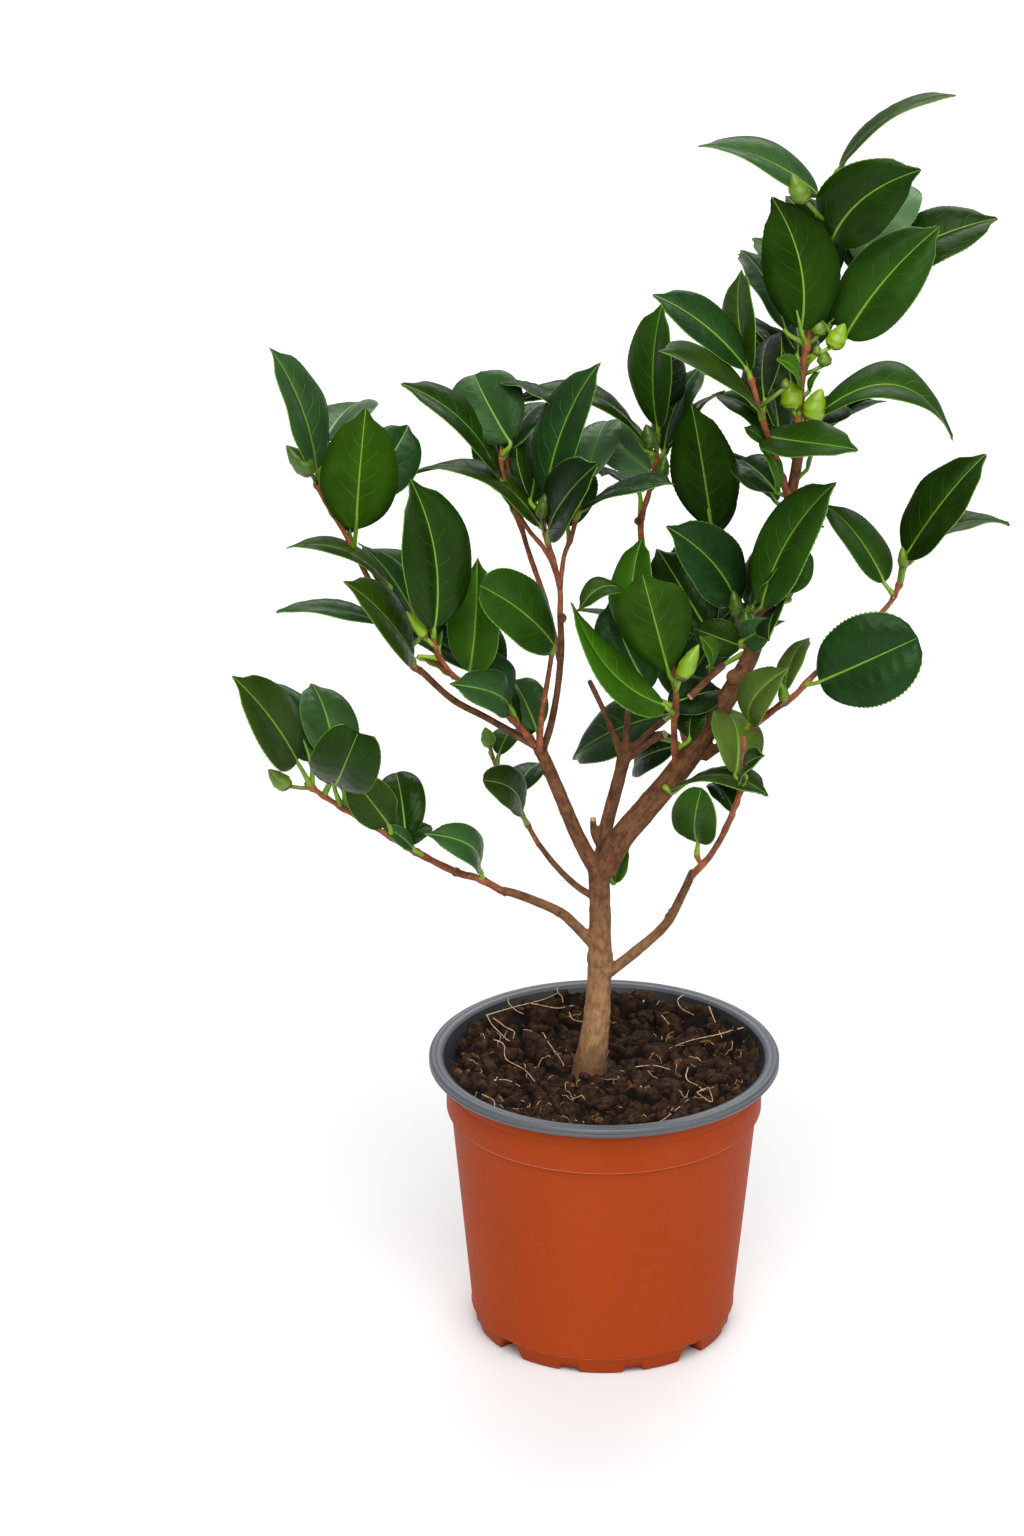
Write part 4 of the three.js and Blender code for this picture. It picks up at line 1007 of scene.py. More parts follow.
def grow_stalk(bm, lie, slot):
    """A leaf's stalk: swollen where it leaves the twig, and run out under the blade's midrib."""
    away = (lie.foot - lie.root).normalized()
    bend = (lie.foot - lie.root).length * 0.45
    low, high = lie.root + away * bend, lie.foot - lie.along * bend * 0.8
    points = []
    for i in range(9):
        t = i / 8
        points.append(lie.root * (1 - t) ** 3 + low * (3 * t * (1 - t) ** 2) + high * (3 * t * t * (1 - t))
                      + lie.foot * t ** 3)
    points += [lie.midrib(share) - lie.upper * 0.25 for share in (0.04, 0.09, 0.16)]
    sizes = [1.15, 1.22, 1.12, 0.98, 0.9, 0.86, 0.85, 0.85, 0.84, 0.78, 0.6, 0.3]
    for face in tube(bm, points, sizes, 8):
        face.material_index = slot


class Look:
    """How one leaf differs from the next: by chance, or as its row in the table says."""

    def __init__(self, chance, slots, small, leaf):
        self.slots = slots
        self.fold = leaf.get("fold", LEAF["fold"])
        self.sway = leaf.get("sway", chance.uniform(-1, 1) * small)
        self.shape = leaf.get("shape", ROUND if leaf.get("blunt") else OVAL)
        self.point = 0 if leaf.get("blunt") else leaf.get("point", 0.4)
        self.notch = leaf.get("notch", 0)
        self.margin, self.rib, self.thick = 0.24 * small, 0.46 * small, 0.19
        self.puff = chance.uniform(0.05, 0.12)
        self.curl = chance.uniform(0, 0.12)
        self.wave = chance.uniform(0.2, 0.7) * small
        self.waves = chance.uniform(1.4, 2.6)
        self.phase = chance.random()
        self.twist = math.radians(chance.uniform(-14, 14) + leaf.get("twist", 0))
        self.hook = chance.uniform(0.4, 2.2) * small + leaf.get("hook", 0)
        self.quilt = leaf.get("quilt", chance.uniform(0.06, 0.14))
        self.teeth = leaf.get("teeth", chance.uniform(0.1, 0.2) * small)


# Twigs, buds and bark

def grow_twig(bm, twig, roots, chance):
    """A young twig with a swelling under each leaf and a slightly knotty skin."""
    route = [seen(*at) for at in twig["route"]]
    count = max(6, whole(curve_length(route) / 1.3))
    points = [curve_at(route, i / count) for i in range(count + 1)]
    shift = Vector((chance.random() * 50, chance.random() * 50, 0))
    sizes = []
    for i, point in enumerate(points):
        radius = size_at(twig["wide"], i / count) / 2
        for root in roots:
            radius += 0.34 * math.exp(-((point - root).length / 1.5) ** 2)
        sizes.append(radius * (1 + 0.12 * noise.noise(point * 0.35 + shift)))
    sizes[-1] *= 0.7

    def relief(i, angle):
        spot = Vector((math.cos(angle) * 1.3, math.sin(angle) * 1.3, i * 0.25)) + shift
        return 1 + 0.07 * noise.noise(spot * 1.4)

    tube(bm, points, sizes, 10, relief)


def grow_bud(bm, foot, tip, wide, chance, slots):
    """A pointed bud wrapped in scales, each with a raised edge, the lowest of them brown."""
    along = tip - foot
    across = along.cross(AHEAD).normalized()
    other = along.cross(across).normalized()
    spin = chance.random() * 2 * math.pi
    rows, around = 22, 14
    lean = across * chance.uniform(-0.35, 0.35) + other * chance.uniform(-0.2, 0.2)

    def place(row, turn):
        share = row / rows
        angle = 2 * math.pi * turn / around
        body = share ** 0.45 * (1 - share) ** 0.85 / 0.432
        layer = (share * 3.1 + 0.5 + 0.5 * math.cos(angle + spin)) % 1
        radius = wide / 2 * body * (1.03 - 0.12 * layer)
        middle = foot + along * share + lean * math.sin(math.pi * share) * wide * 0.25
        return middle + (across * math.cos(angle) + other * math.sin(angle)) * radius

    low = foot + along * 0.2
    for face in skin(bm, rows + 1, around, place):
        below = (face.calc_center_median() - low).dot(along) < 0
        face.material_index = slots[1] if below and chance.random() < 0.8 else slots[0]


# How fine the bark is, in metres, and the rings of old buds along a limb, in millimetres.
BARK_GRID = 0.00062
BUD_RINGS = (9, 24, 31, 52, 74)


def limb_path(sizes, spacing):
    """Evenly spaced points of a limb, with the radius at each."""
    route = [seen(*at) for at in sizes["route"]]
    count = max(8, whole(curve_length(route) / spacing))
    shares = [i / count for i in range(count + 1)]
    points = [curve_at(route, share) for share in shares]
    return points, [size_at(sizes["wide"], share) / 2 for share in shares]


def grow_limb(bm, sizes, number, samples):
    """A limb of the bark mesh, and its samples for the relief that follows its length."""
    points, radii = limb_path(sizes, 1.4)
    flare = sizes.get("flare", 0)
    count = len(points) - 1
    along = 0
    frames = carried(points)
    for i, point in enumerate(points):
        along += (point - points[i - 1]).length if i else 0
        samples.append((point, frames[i][0], along, radii[i], number))

    def relief(i, angle):
        low = max(0, 1 - i / count * 6)
        return 1 + flare * low * (1 + math.cos(3 * angle + 1))

    tube(bm, points, radii, 20, relief)


def make_bark(finishes):
    """Trunk and boughs as one skin, fused where they fork, with fissures, rings, scars and knots."""
    bm = bmesh.new()
    samples = []
    limbs = [limb for sizes in LIMBS.values() for limb in [sizes, *sizes.get("spurs", [])]]
    for number, sizes in enumerate(limbs):
        grow_limb(bm, sizes, number, samples)
    for across, down, depth, size in KNOBS:
        at = Matrix.Translation(seen(across, down, depth))
        bmesh.ops.create_icosphere(bm, subdivisions=3, radius=size, matrix=at)
    cuts = [seen(*at) for at in CUTS]
    bmesh.ops.transform(bm, matrix=Matrix.Scale(MM, 4), verts=bm.verts)
    carrier = placed("bark_rough", mesh_of(bm, "bark_rough"))
    fuse = carrier.modifiers.new("fuse", "REMESH")
    fuse.mode = "VOXEL"
    fuse.voxel_size = BARK_GRID
    even = carrier.modifiers.new("even", "SMOOTH")
    even.iterations = 3
    even.factor = 0.5
    fused = bpy.data.meshes.new_from_object(carrier.evaluated_get(bpy.context.evaluated_depsgraph_get()))
    bpy.data.objects.remove(carrier)
    bm = bmesh.new()
    bm.from_mesh(fused)
    bmesh.ops.transform(bm, matrix=Matrix.Scale(1 / MM, 4), verts=bm.verts)
    bm.normal_update()
    tree = kdtree.KDTree(len(samples))
    for i, sample in enumerate(samples):
        tree.insert(sample[0], i)
    tree.balance()
    grain = bm.verts.layers.float_vector.new("grain")
    scar = bm.verts.layers.float.new("scar")
    scars = [seen(*at) for at in SCARS]
    moved = []
    for vert in bm.verts:
        point, way, along, radius, number = samples[tree.find(vert.co)[1]]
        off = vert.co - point
        ahead = off.dot(way)
        spot = off - way * ahead + way * ((along + ahead) * 0.24) + Vector((number * 7.3, 0, 0))
        vert[grain] = spot * 0.1
        split = 1 - abs(noise.noise(spot * 0.8)) * 3.2
        fine = noise.noise(spot * 2.6)
        start = along + ahead - number * 5 % 11
        ring = sum(math.exp(-((start - stop) / 0.7) ** 2) for stop in BUD_RINGS)
        size = min(1, radius / 4.2)
        swell = noise.noise(vert.co * 0.13)
        lift = (-0.08 * max(0, split) ** 2 + 0.06 * fine + 0.14 * ring + 0.3 * swell) * size
        near = min((vert.co - at).length for at in scars)
        if near < 5:
            lift += 0.42 * math.exp(-((near - 1.7) / 0.6) ** 2) - 0.3 * math.exp(-(near / 0.8) ** 2)
            vert[scar] = math.exp(-(near / 1.1) ** 2)
        moved.append((vert, vert.normal * lift))
    for vert, shift in moved:
        vert.co += shift
    for face in bm.faces:
        face.smooth = True
        middle = face.calc_center_median()
        if any((middle - cut).length < 1.7 for cut in cuts):
            face.material_index = 1
    names = [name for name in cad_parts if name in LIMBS]
    return piece("trunk_and_boughs", bm, finishes, names)


# The pot

def lug(bm, start, end, notches):
    """One arc of the pot's foot, its ends aslant, with notches in its lower edge."""
    section = ((43.2, 7), (43.2, 0.4), (43.7, 0), (48.9, 0), (49.5, 0.3), (49.9, 1), (50.75, 6), (50.9, 7))
    slant = 3.4
    turns = 96

    def place(row, turn):
        share = min(max((row - 1) / turns, 0), 1)
        radius, height = section[turn] if 0 < row < turns + 2 else (47, 3.5)
        lean = slant * height / 7
        angle = start - lean + (end - start + 2 * lean) * share
        for notch in notches:
            rise = 2.3 * (1 - smooth_step(4.1, 4.9, abs(angle - notch)))
            if height < 3:
                height = max(height, rise)
        turned = math.radians(angle)
        return Vector((radius * math.cos(turned), radius * math.sin(turned), height))

    skin(bm, turns + 3, len(section), place)


def make_pot(finishes):
    """The moulded pot: a tapered wall with a bead, an upright band and a castellated foot."""
    neck, shoulder, foot, low = POT["neck"], POT["shoulder"], POT["foot"], POT["lug"]
    bm = spun([
        (0, low - 2.5), (42, low - 2.5), (44.5, low), (foot - 0.5, low), (foot + 0.1, low + 0.5),
        (foot + 0.5, low + 1.4), (foot + 0.2, low + 2.4), (shoulder - 0.2, BAND["low"] - 2),
        (shoulder, BAND["low"] - 0.4),
        (neck - 0.7, BAND["low"] + 0.2), (neck - 0.35, BAND["low"] + 0.55), (neck - 0.3, 103.3),
        (neck - 0.45, 103.6), (neck - 0.45, 104.2), (neck - 0.2, 104.5), (neck, BAND["top"]),
        (neck - 1.1, BAND["top"]), (shoulder - 1.3, BAND["low"] - 1), (foot - 1.3, low + 2.2), (0, low + 2.2),
    ], 144, 0.12)
    for quarter in range(4):
        middle = 90 * quarter - 90
        lug(bm, middle - 39.3, middle + 35.3, (middle - 16, middle + 13))
    bm.from_mesh(mesh_of(spun([(0, 0), (15.6, 0), (16, 0.4), (18, 7), (0, 7)], 48), "pad"))
    # Faces along the step below the band and along the foot's lower edge take the second finish: a pale line
    # that is partly wear and partly painted highlight along the edge.
    for face in bm.faces:
        middle = face.calc_center_median()
        for low_edge, reach in ((BAND["low"] + 0.2, neck - 1), (low + 0.45, foot - 0.4)):
            if low_edge < middle.z < low_edge + 0.4 and middle.xy.length > reach:
                face.material_index = 1
    return piece("pot_body", bm, finishes, ["pot"])


def make_rim(finishes):
    """The grey rolled lip, and the dark lining that it turns down into."""
    neck, rim, lip, height = POT["neck"], POT["rim"], POT["lip"], POT["height"]
    under = BAND["top"] + 0.4
    profile = [
        (neck - 3, SOIL_TOP - 9), (neck - 1.5, BAND["top"]), (neck - 1.3, under), (rim - 1.5, under),
        (rim - 0.5, under + 0.25), (rim, under + 0.9), (rim, height - 2.5), (rim - 0.25, height - 2.3),
        (rim - 0.25, height - 2), (rim, height - 1.8), (rim, height - 1.1), (rim - 0.4, height - 0.4),
        (rim - 1.3, height), (rim - 2, height), (rim - 2.2, height - 0.2), (rim - 2.5, height - 0.2),
        (rim - 2.7, height), (lip + 1.4, height), (lip + 0.3, height - 0.3),
        (lip - 0.5, height - 1.2), (lip - 0.9, height - 2.6), (neck - 2.3, under - 0.6),
        (neck - 3.8, SOIL_TOP - 9),
    ]
    bm = spun(profile, 144)
    dark = lip - 0.7
    for face in bm.faces:
        middle = face.calc_center_median()
        if middle.xy.length < dark and face.normal.xy.dot(middle.xy) < 0:
            face.material_index = 1
    return piece("pot_lip", bm, finishes, ["pot_rim"])


# The soil

def soil_at(x, y):
    """The top of the peat, and how deep in a gap it is: leaning clods, heaped up against the lining."""
    spot = Vector((x, y, 0))
    stray = noise.noise_vector(spot * 0.3) * 1.2
    stray.z = 0
    height, gap = 0, 0
    for size, deep in ((10.5, 2.6), (4.4, 1.1)):
        near, centres = noise.voronoi((spot + stray) / size)[:2]
        between = 1 - smooth_step(0, 0.3, near[1] - near[0])
        lean = noise.noise_vector(centres[0] * 5.7) * 1.6
        slope = lean.dot((spot + stray) / size - centres[0])
        height += deep * (noise.noise(centres[0] * 3.1) + slope - 0.9 * between)
        gap = max(gap, between * deep / 2.6)
    height += 0.35 * noise.noise(spot * 0.9) + 0.2 * noise.noise(spot * 2.1)
    away = math.hypot(x, y)
    return min(soil_level(x, y) + height * smooth_step(4, 13, away), POT["height"] - 0.9), gap


def soil_level(x, y):
    """The height of the peat without its clods: heaped up against the lining, most at the back."""
    heap = smooth_step(36, 60.5, math.hypot(x, y)) * (4.6 + 2 * smooth_step(-15, 52, y + 0.35 * x))
    return SOIL_TOP - 0.6 + heap


def soil_height(x, y):
    return soil_at(x, y)[0]


def on_soil(across, down):
    """The point just above the peat that shows at a pixel."""
    near, far = seen(across, down, -90), seen(across, down, 90)
    level = SOIL_TOP + 1
    for _ in range(7):
        spot = near + (far - near) * ((level - near.z) / (far.z - near.z))
        level = (level + soil_level(spot.x, spot.y) + 1.3) / 2
    return spot


def make_soil(finishes):
    """Chunky peat: an uneven bed with lumps, bark chips, fine pale roots and a few pale bits."""
    chance = random.Random(17)
    bm = bmesh.new()
    rings = [0.62 * i for i in range(99)] + [57]
    turns = 300

    def place(row, turn):
        angle = 2 * math.pi * turn / turns
        if row == len(rings):
            return Vector((0, 0, SOIL_TOP - 6))
        x, y = rings[row] * math.cos(angle), rings[row] * math.sin(angle)
        return Vector((x, y, soil_height(x, y) if row < len(rings) - 1 else SOIL_TOP - 6))

    skin(bm, len(rings) + 1, turns, place)
    # How deep in a gap each point of the bed lies, which the finish paints as shade.
    gap = bm.verts.layers.float.new("gap")
    for vert in bm.verts:
        vert[gap] = soil_at(vert.co.x, vert.co.y)[1]

    def somewhere(most):
        angle, radius = chance.uniform(0, 2 * math.pi), most * math.sqrt(chance.uniform(0.02, 1))
        return radius * math.cos(angle), radius * math.sin(angle)

    def lump(size, flat, subdivisions, index, high):
        x, y = somewhere(60 - size)
        spin = Quaternion([chance.uniform(-1, 1) for _ in range(3)], chance.uniform(0, 3))
        long, wide = chance.uniform(0.7, 1.5), chance.uniform(0.6, 1)
        stretch = Matrix.Diagonal((size * long, size * wide, size * flat, 1))
        where = Matrix.Translation((x, y, soil_height(x, y) + size * high))
        turned = where @ spin.to_matrix().to_4x4() @ stretch
        ball = bmesh.ops.create_icosphere(bm, subdivisions=subdivisions, radius=1, matrix=turned)
        shift = Vector((x, y, 0)) * 3
        for vert in ball["verts"]:
            vert.co += (vert.co - where.translation) * (0.45 * noise.noise(vert.co / size * 0.9 + shift))
            for face in vert.link_faces:
                face.material_index = index
                face.smooth = subdivisions > 1

    # How many, how large, how flat, how round, of which finish, and how high they lie.
    for count, least, most, flat, subdivisions, kinds, high in (
        (90, 2.2, 4, 0.55, 2, (0,), -0.05),
        (200, 1, 2.2, 0.65, 1, (0,), 0.2),
        (240, 0.4, 0.9, 0.8, 1, (0, 0, 0, 1), 0.2),
        (60, 0.9, 2.2, 0.35, 1, (1,), 0.2),
        (8, 0.4, 0.8, 0.8, 1, (3,), 0.2),
    ):
        for _ in range(count):
            size = chance.uniform(least, most)
            lump(size, flat, subdivisions, chance.choice(kinds) if len(kinds) > 1 else kinds[0], high)
    for pixels in ROOT_HAIRS:
        route = [Vector((*pixel, 0)) for pixel in pixels]
        count = max(6, whole(curve_length(route) / 2))
        points = [on_soil(*curve_at(route, i / count).xy) for i in range(count + 1)]
        heights = [max(point.z - 0.6, soil_height(point.x, point.y) + 0.2) for point in points]
        for i, point in enumerate(points):
            near = heights[max(0, i - 3):i + 4]
            point.z = (sum(near) / len(near) + max(near)) / 2
        sizes = [0.22 * (1 - 0.4 * i / count) for i in range(count + 1)]
        for face in tube(bm, points, sizes, 5):
            face.material_index = 2
    for _ in range(80):
        x, y = somewhere(54)
        turn, long = chance.uniform(0, 2 * math.pi), chance.uniform(3, 9)
        bend, points = chance.uniform(-0.25, 0.25), []
        for _ in range(9):
            points.append(Vector((x, y, soil_height(x, y) + 0.3)))
            x, y, turn = x + math.cos(turn) * long / 8, y + math.sin(turn) * long / 8, turn + bend
            if math.hypot(x, y) > 56:
                break
        if len(points) > 2:
            for face in tube(bm, points, [0.13 * chance.uniform(0.7, 1.2)] * len(points), 4):
                face.material_index = 2
    return piece("potting_mix", bm, finishes, ["potting_soil"])


# The finishes of this plant

# The upper sides' greens. Most are the leaves' own range of tone, but blue and grey are partly painted sheen,
# the cool gloss of a lit leaf, and pale is painted sheen plus painted light on leaves that lie in shade.
UPPER_TONES = {
    "dark": (25, 51, 4), "deep": (16, 37, 8), "blue": (27, 58, 21), "green": (35, 69, 8),
    "bright": (47, 88, 7), "olive": (39, 62, 8), "grey": (45, 77, 36), "light": (60, 103, 11),
    "pale": (90, 128, 84), "sage": (76, 98, 32), "dry": (106, 66, 36),
}
GLOSSY = ("dark", "blue", "grey", "pale")

# How far a bud stands in front of its twig. A leaf shorter than this has a thinner rib and edge.
BUD_AHEAD = 1.5
FULL_LEAF = 34

BUD_TONES = ("green", "brown", "bright", "deep")
UNDER_TONES = {"bright": (29, 58, 2), "light": (41, 75, 3), "sage": (62, 88, 20), "dry": (112, 72, 42)}
PLAIN_UNDER = (36, 64, 7)


def leaf_finish(name, colour, rough, shine):
    """A leathery blade: faint looping veins, a soft sheen and slightly uneven green."""
    made = Finish("leaf_" + name, rough, shine)
    made.shader.inputs["Specular Tint"].default_value = (0.62, 0.9, 0.5, 1)
    spot = made.place()
    flat = made.add("UVMap", uv_map="blade").outputs["UV"]
    parts = made.add("SeparateXYZ", {"Vector": flat})
    off = made.math("ABSOLUTE", made.math("SUBTRACT", parts.outputs["X"], 0.5))
    bent = made.math("ADD", made.times(off, 0.4), made.times(made.math("POWER", off, 3), 2.4))
    stray = made.times(made.cloud(spot, 110, 2), 0.06)
    along = made.math("SUBTRACT", made.math("ADD", parts.outputs["Y"], stray), bent)
    veins = made.math("ABSOLUTE", made.math("SINE", made.times(along, 7 * math.pi)))
    vein = made.times(made.step(veins, 0, 0.17, 1, 0), made.step(off, 0.36, 0.46, 1, 0))
    light = tuple(min(255, c * 1.3 + 14) for c in colour)
    dull = tuple(c * 0.8 for c in colour)
    base = made.between(made.cloud(spot, 60, 2), 0.3, 0.7, dull, colour)
    base = made.blend(made.times(made.step(off, 0, 0.16, 1, 0), 0.25), base, paint(*light))
    base = made.blend(made.times(vein, 0.8 if name.startswith("under") else 0.5), base, paint(*light))
    made.colour(base)
    made.roughness(made.step(made.cloud(spot, 260, 3), 0.3, 0.7, rough - 0.06, rough + 0.06))
    made.bump(made.times(vein, -1), 0.0002)
    made.bump(made.cloud(spot, 1400, 2), 0.00004)
    return made.material


def green_finish(name, colour, second, scale, rough):
    """Stalks, midribs, leaf edges and bud scales: one smooth green with a little drift in it."""
    made = Finish(name, rough, 0.5)
    spot = made.place()
    made.colour(made.between(made.cloud(spot, scale, 2), 0.3, 0.7, colour, second))
    made.bump(made.cloud(made.stretched((1, 1, 0.3), spot), 1800, 2), 0.00004)
    return made.material


def bark_finish():
    """Old wood: tan ridges over dark fissures along the limb, dark at the foot and redder higher up."""
    made = Finish("bark", 0.85, 0.25)
    spot = made.place()
    grain = made.attribute("grain", "Vector")
    level = made.add("SeparateXYZ", {"Vector": spot}).outputs["Z"]
    ridge = made.cloud(grain, 7, 5, 0.6)
    fine = made.cloud(grain, 34, 4, 0.6)
    mottle = made.times(made.math("ADD", ridge, made.cloud(spot, 300, 4)), 0.5)
    low = made.between(mottle, 0.36, 0.62, (128, 92, 60), (166, 127, 88))
    top = made.between(mottle, 0.36, 0.62, (74, 43, 25), (114, 74, 45))
    base = made.blend(made.step(level, 0.12, 0.2), low, top)
    base = made.over(base, fine, 0.56, 0.74, 0.35, (192, 156, 114))
    base = made.over(base, made.cloud(spot, 90, 3), 0.6, 0.78, 0.35, (92, 66, 44))
    base = made.over(base, made.cloud(spot, 800, 2), 0.63, 0.72, 0.45, (80, 54, 34))
    base = made.blend(made.step(level, 0.109, 0.125, 0.7, 0), base, paint(72, 48, 30))
    base = made.over(base, made.attribute("scar"), 0.1, 0.9, 0.75, (74, 46, 30))
    made.colour(base)
    made.roughness(made.step(fine, 0.3, 0.7, 0.75, 0.92))
    made.bump(ridge, 0.00018, 0.6)
    made.bump(fine, 0.00014, 0.8)
    made.bump(made.cloud(spot, 1300, 3), 0.00008)
    return made.material


def twig_finish():
    """Young wood: red-brown, with pale flecks."""
    made = Finish("young_wood", 0.6, 0.35)
    spot = made.place()
    base = made.between(made.cloud(spot, 160, 3), 0.3, 0.7, (100, 50, 26), (148, 80, 44))
    made.colour(made.over(base, made.cloud(spot, 1100, 2), 0.6, 0.72, 0.6, (190, 150, 108)))
    made.bump(made.cloud(spot, 900, 4), 0.00016)
    return made.material


def cut_finish():
    """The pale end of a pruned branch, with rings of growth."""
    made = Finish("cut_wood", 0.8, 0.25)
    spot = made.place()
    rings = made.cloud(spot, 1500, 3)
    made.colour(made.between(rings, 0.35, 0.65, (150, 120, 84), (204, 180, 142)))
    made.bump(rings, 0.0001)
    return made.material


def plastic_finish(name, colour, second, rough, dust, shine):
    """Moulded plastic: nearly even, with faint flow marks, fine texture and a trace of dust."""
    made = Finish(name, rough, shine)
    spot = made.place()
    speck = made.cloud(spot, 900, 3)
    base = made.between(made.cloud(made.stretched((1, 1, 0.5), spot), 14, 2), 0.3, 0.7, colour, second)
    made.colour(made.over(base, made.cloud(spot, 240, 5), 0.55, 0.8, dust, (206, 150, 118)))
    made.roughness(made.step(speck, 0.3, 0.7, rough - 0.06, rough + 0.08))
    made.bump(speck, 0.00005)
    return made.material


def crumb_finish(name, colour, second, scale, rough):
    """Peat, chips of bark, roots and pale bits: rough and uneven, with painted shade that darkens the gaps.
    """
    made = Finish(name, rough, 0.15)
    spot = made.place()
    strand = made.cloud(made.stretched((1, 1.4, 4), spot), scale * 2, 3, 0.6)
    base = made.between(made.cloud(spot, scale, 5, 0.7), 0.34, 0.66, colour, second)
    base = made.over(base, strand, 0.5, 0.64, 0.55, [level * 0.5 for level in colour])
    # Painted shade: the deeper a point lies in a gap between clods, the nearer to black it is painted.
    made.colour(made.over(base, made.attribute("gap"), 0.2, 0.95, 0.85, (9, 6, 4)))
    made.bump(strand, 0.0005)
    made.bump(made.cloud(spot, scale * 2.5, 4, 0.7), 0.0004)
    return made.material


# Putting the plant together

def grow_masses():
    """Every mass: its twigs, leaves and buds, gathered into a few joined pieces."""
    pattern = blade_pattern()
    uppers = {tone: leaf_finish(tone, colour, 0.3 if tone in GLOSSY else 0.4, 0.17)
              for tone, colour in UPPER_TONES.items()}
    unders = {tone: leaf_finish("under_" + tone, colour, 0.5, 0.1) for tone, colour in UNDER_TONES.items()}
    plain_under = leaf_finish("under_plain", PLAIN_UNDER, 0.5, 0.1)
    rib = green_finish("midrib", (100, 140, 26), (116, 150, 36), 120, 0.45)
    margin = green_finish("leaf_edge", (100, 144, 22), (84, 130, 18), 120, 0.45)
    stalk = green_finish("leaf_stalk", (122, 158, 26), (92, 132, 18), 150, 0.45)
    finishes = [*uppers.values(), *unders.values(), plain_under, rib, margin, stalk]
    names = [*uppers, *("under_" + tone for tone in unders), "plain_under", "rib", "margin", "stalk"]
    twigs, buds = bmesh.new(), bmesh.new()
    chance = random.Random(5)
    solids = {name: solid_of("foliage_" + name) for name in MASSES}
    twigs_of = {name: [traced(twig) for twig in mass["twigs"]] for name, mass in MASSES.items()}
    shown = {name: [*shown_leaves(mass, twigs_of[name], solids[name])] for name, mass in MASSES.items()}
    marks = [mark for leaves in shown.values() for lie, _, _ in leaves for mark in marks_of(lie)]
    taken = [lie.midrib(0.6) for leaves in shown.values() for lie, _, _ in leaves]
    slot_of = {name: i for i, name in enumerate(names)}
    for group, members in GROUPS.items():
        grown = []
        for name in members:
            mass, traces = MASSES[name], twigs_of[name]
            leaves = shown[name] + far_leaves(mass, traces, solids[name], marks, taken)
            grown += leaves
            for twig in mass["twigs"]:
                grow_twig(twigs, twig, [lie.root for lie, _, _ in leaves], chance)
            for bud in mass.get("buds", []):
                root = root_of(traces, bud["foot"])
                near = root.y - BUD_AHEAD - bud.get("out", 0)
                low, high = seen(*bud["foot"], near), seen(*bud["tip"], near)
                slot = BUD_TONES.index(bud.get("tone", "green"))
                grow_bud(buds, low, high, bud["wide"], chance, (slot, 1))
                stem = [root, (root + low) / 2, low + (high - low) * 0.1]
                for face in tube(buds, stem, [0.95, 0.85, 0.8], 8):
                    face.material_index = slot
        bm = bmesh.new()
        for lie, tone, leaf in grown:
            slots = {"upper": slot_of[tone], "under": slot_of.get("under_" + tone, slot_of["plain_under"]),
                     "rib": slot_of["rib"], "margin": slot_of["margin"]}
            grow_blade(bm, pattern, lie, Look(chance, slots, min(1, lie.reach / FULL_LEAF), leaf))
        for lie, _, _ in grown:
            grow_stalk(bm, lie, slot_of["stalk"])
        piece("leaves_" + group, bm, finishes, ["foliage_" + name for name in members])
    piece("twigs", twigs, [twig_finish()])
    scales = [green_finish("bud_scale", (96, 128, 12), (80, 110, 8), 110, 0.34),
              green_finish("bud_scale_brown", (92, 88, 26), (84, 60, 26), 200, 0.45),
              green_finish("bud_scale_bright", (134, 164, 16), (112, 146, 12), 110, 0.32),
              green_finish("bud_scale_deep", (66, 96, 6), (50, 78, 4), 110, 0.32)]
    piece("buds", buds, scales)


def solid_of(name):
    """A CAD node as something that can be asked for its nearest point, in millimetres."""
    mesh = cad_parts[name].data
    corners = [vert.co / MM for vert in mesh.vertices]
    return BVHTree.FromPolygons(corners, [face.vertices[:] for face in mesh.polygons])


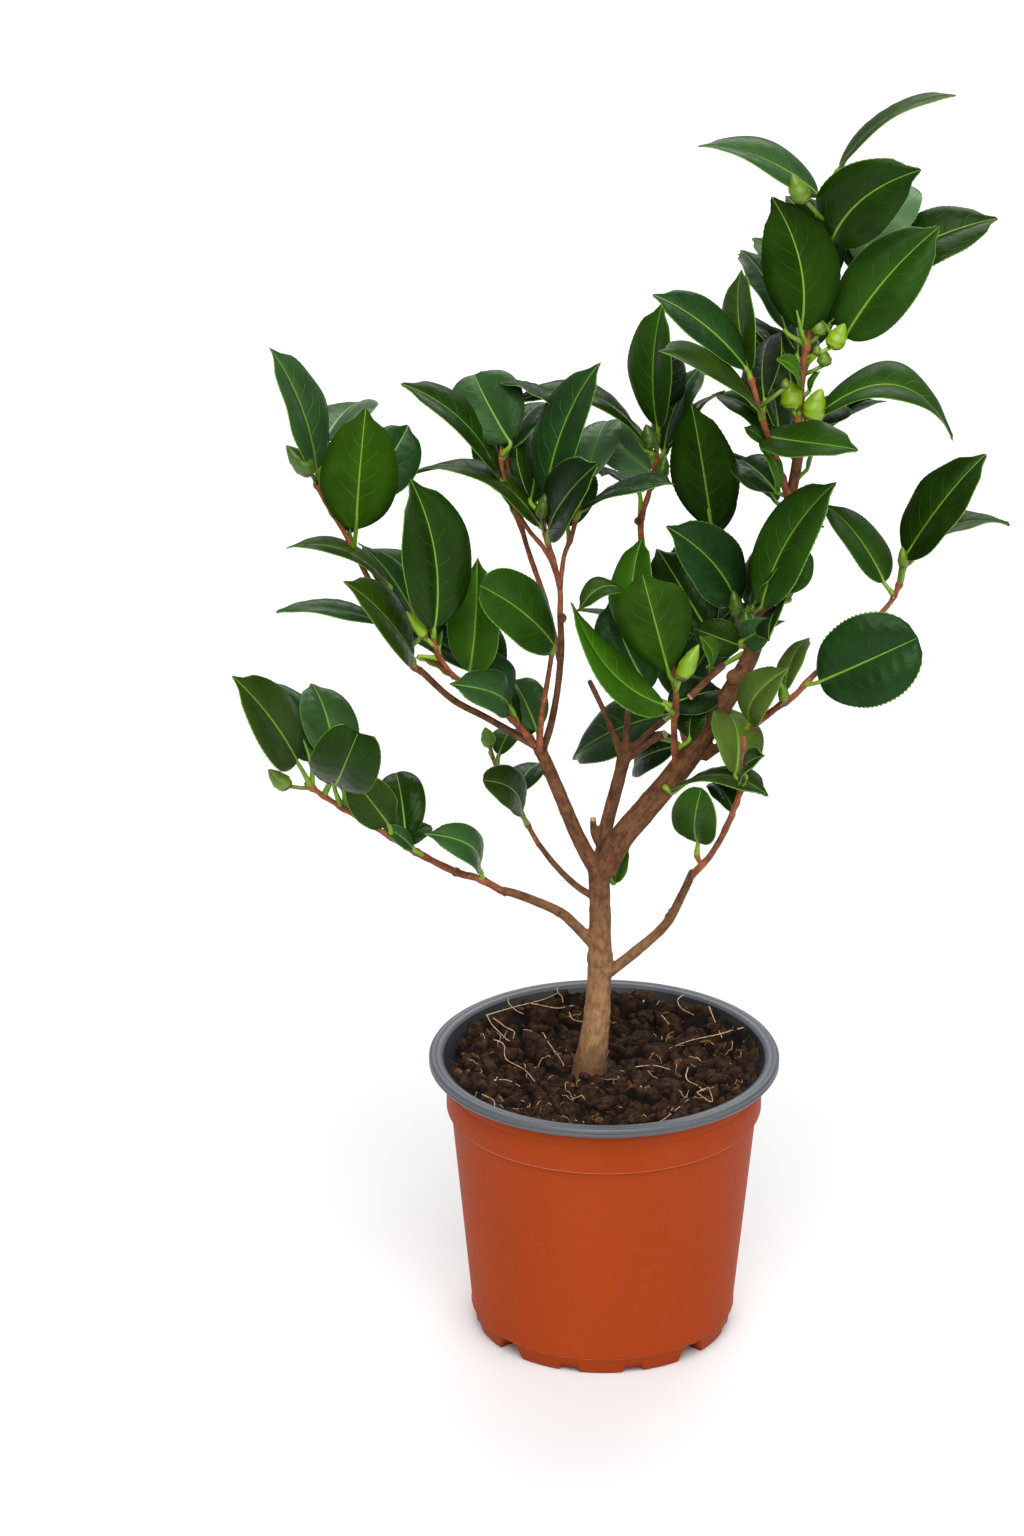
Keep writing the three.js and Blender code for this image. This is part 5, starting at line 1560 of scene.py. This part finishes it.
grow_masses()
make_bark([bark_finish(), cut_finish()])
make_pot([plastic_finish("terracotta_plastic", (158, 62, 22), (150, 57, 19), 0.5, 0.03, 0.06),
          # The second finish is a pale edge line, partly wear and partly painted highlight.
          plastic_finish("worn_edge_and_painted_highlight", (212, 138, 104), (200, 116, 80), 0.4, 0, 0.3)])
make_rim([plastic_finish("grey_plastic", (80, 84, 90), (70, 74, 80), 0.38, 0, 0.5),
          plastic_finish("dark_lining", (26, 28, 32), (18, 20, 23), 0.42, 0, 0.4)])
make_soil([crumb_finish("peat", (22, 13, 8), (68, 45, 28), 260, 0.95),
           crumb_finish("bark_chip", (74, 46, 28), (122, 82, 50), 400, 0.85),
           crumb_finish("fine_root", (196, 160, 118), (224, 196, 156), 300, 0.8),
           crumb_finish("pale_bit", (196, 190, 176), (226, 222, 212), 500, 0.8)])


# Floor, lights and camera

def lit_room():
    """A pale floor, a bright even room and soft lights."""
    bm = bmesh.new()
    bmesh.ops.create_grid(bm, x_segments=1, y_segments=1, size=6)
    floor = placed("studio_floor", mesh_of(bm, "studio_floor"))
    made = Finish("studio_floor", 0.9, 0.1)
    made.colour(made.blend(made.cloud(made.place(), 2, 1), (0.76, 0.76, 0.76, 1), (0.78, 0.78, 0.78, 1)))
    floor.data.materials.append(made.material)

    world = bpy.data.worlds.new("room")
    world.use_nodes = True
    sky = world.node_tree.nodes["Background"]
    sky.inputs["Color"].default_value = (1, 1, 1, 1)
    sky.inputs["Strength"].default_value = 0.38
    bpy.context.scene.world = world

    for name, place, goal, size, power in (
        ("key", (-0.02, -1.45, 2.0), (0, 0, 0.2), 2.4, 74), ("fill", (1.7, -1.3, 1.0), (0, 0, 0.2), 1.6, 9),
        ("back", (0.2, 2.0, 2.2), (0, 1.5, 0), 2.4, 62),
    ):
        light = bpy.data.lights.new(name, "AREA")
        light.size = size
        light.energy = power
        lamp = placed(name, light)
        lamp.location = place
        lamp.rotation_euler = (Vector(goal) - Vector(place)).to_track_quat("-Z", "Y").to_euler()


lit_room()
lens = bpy.data.cameras.new("camera")
lens.lens = LENS
lens.sensor_width = SENSOR
camera = placed("camera", lens)
camera.location = EYE * MM
camera.rotation_euler = (math.pi / 2 - DOWN, 0, 0)
bpy.context.scene.camera = camera
bpy.context.scene.view_settings.view_transform = "Standard"
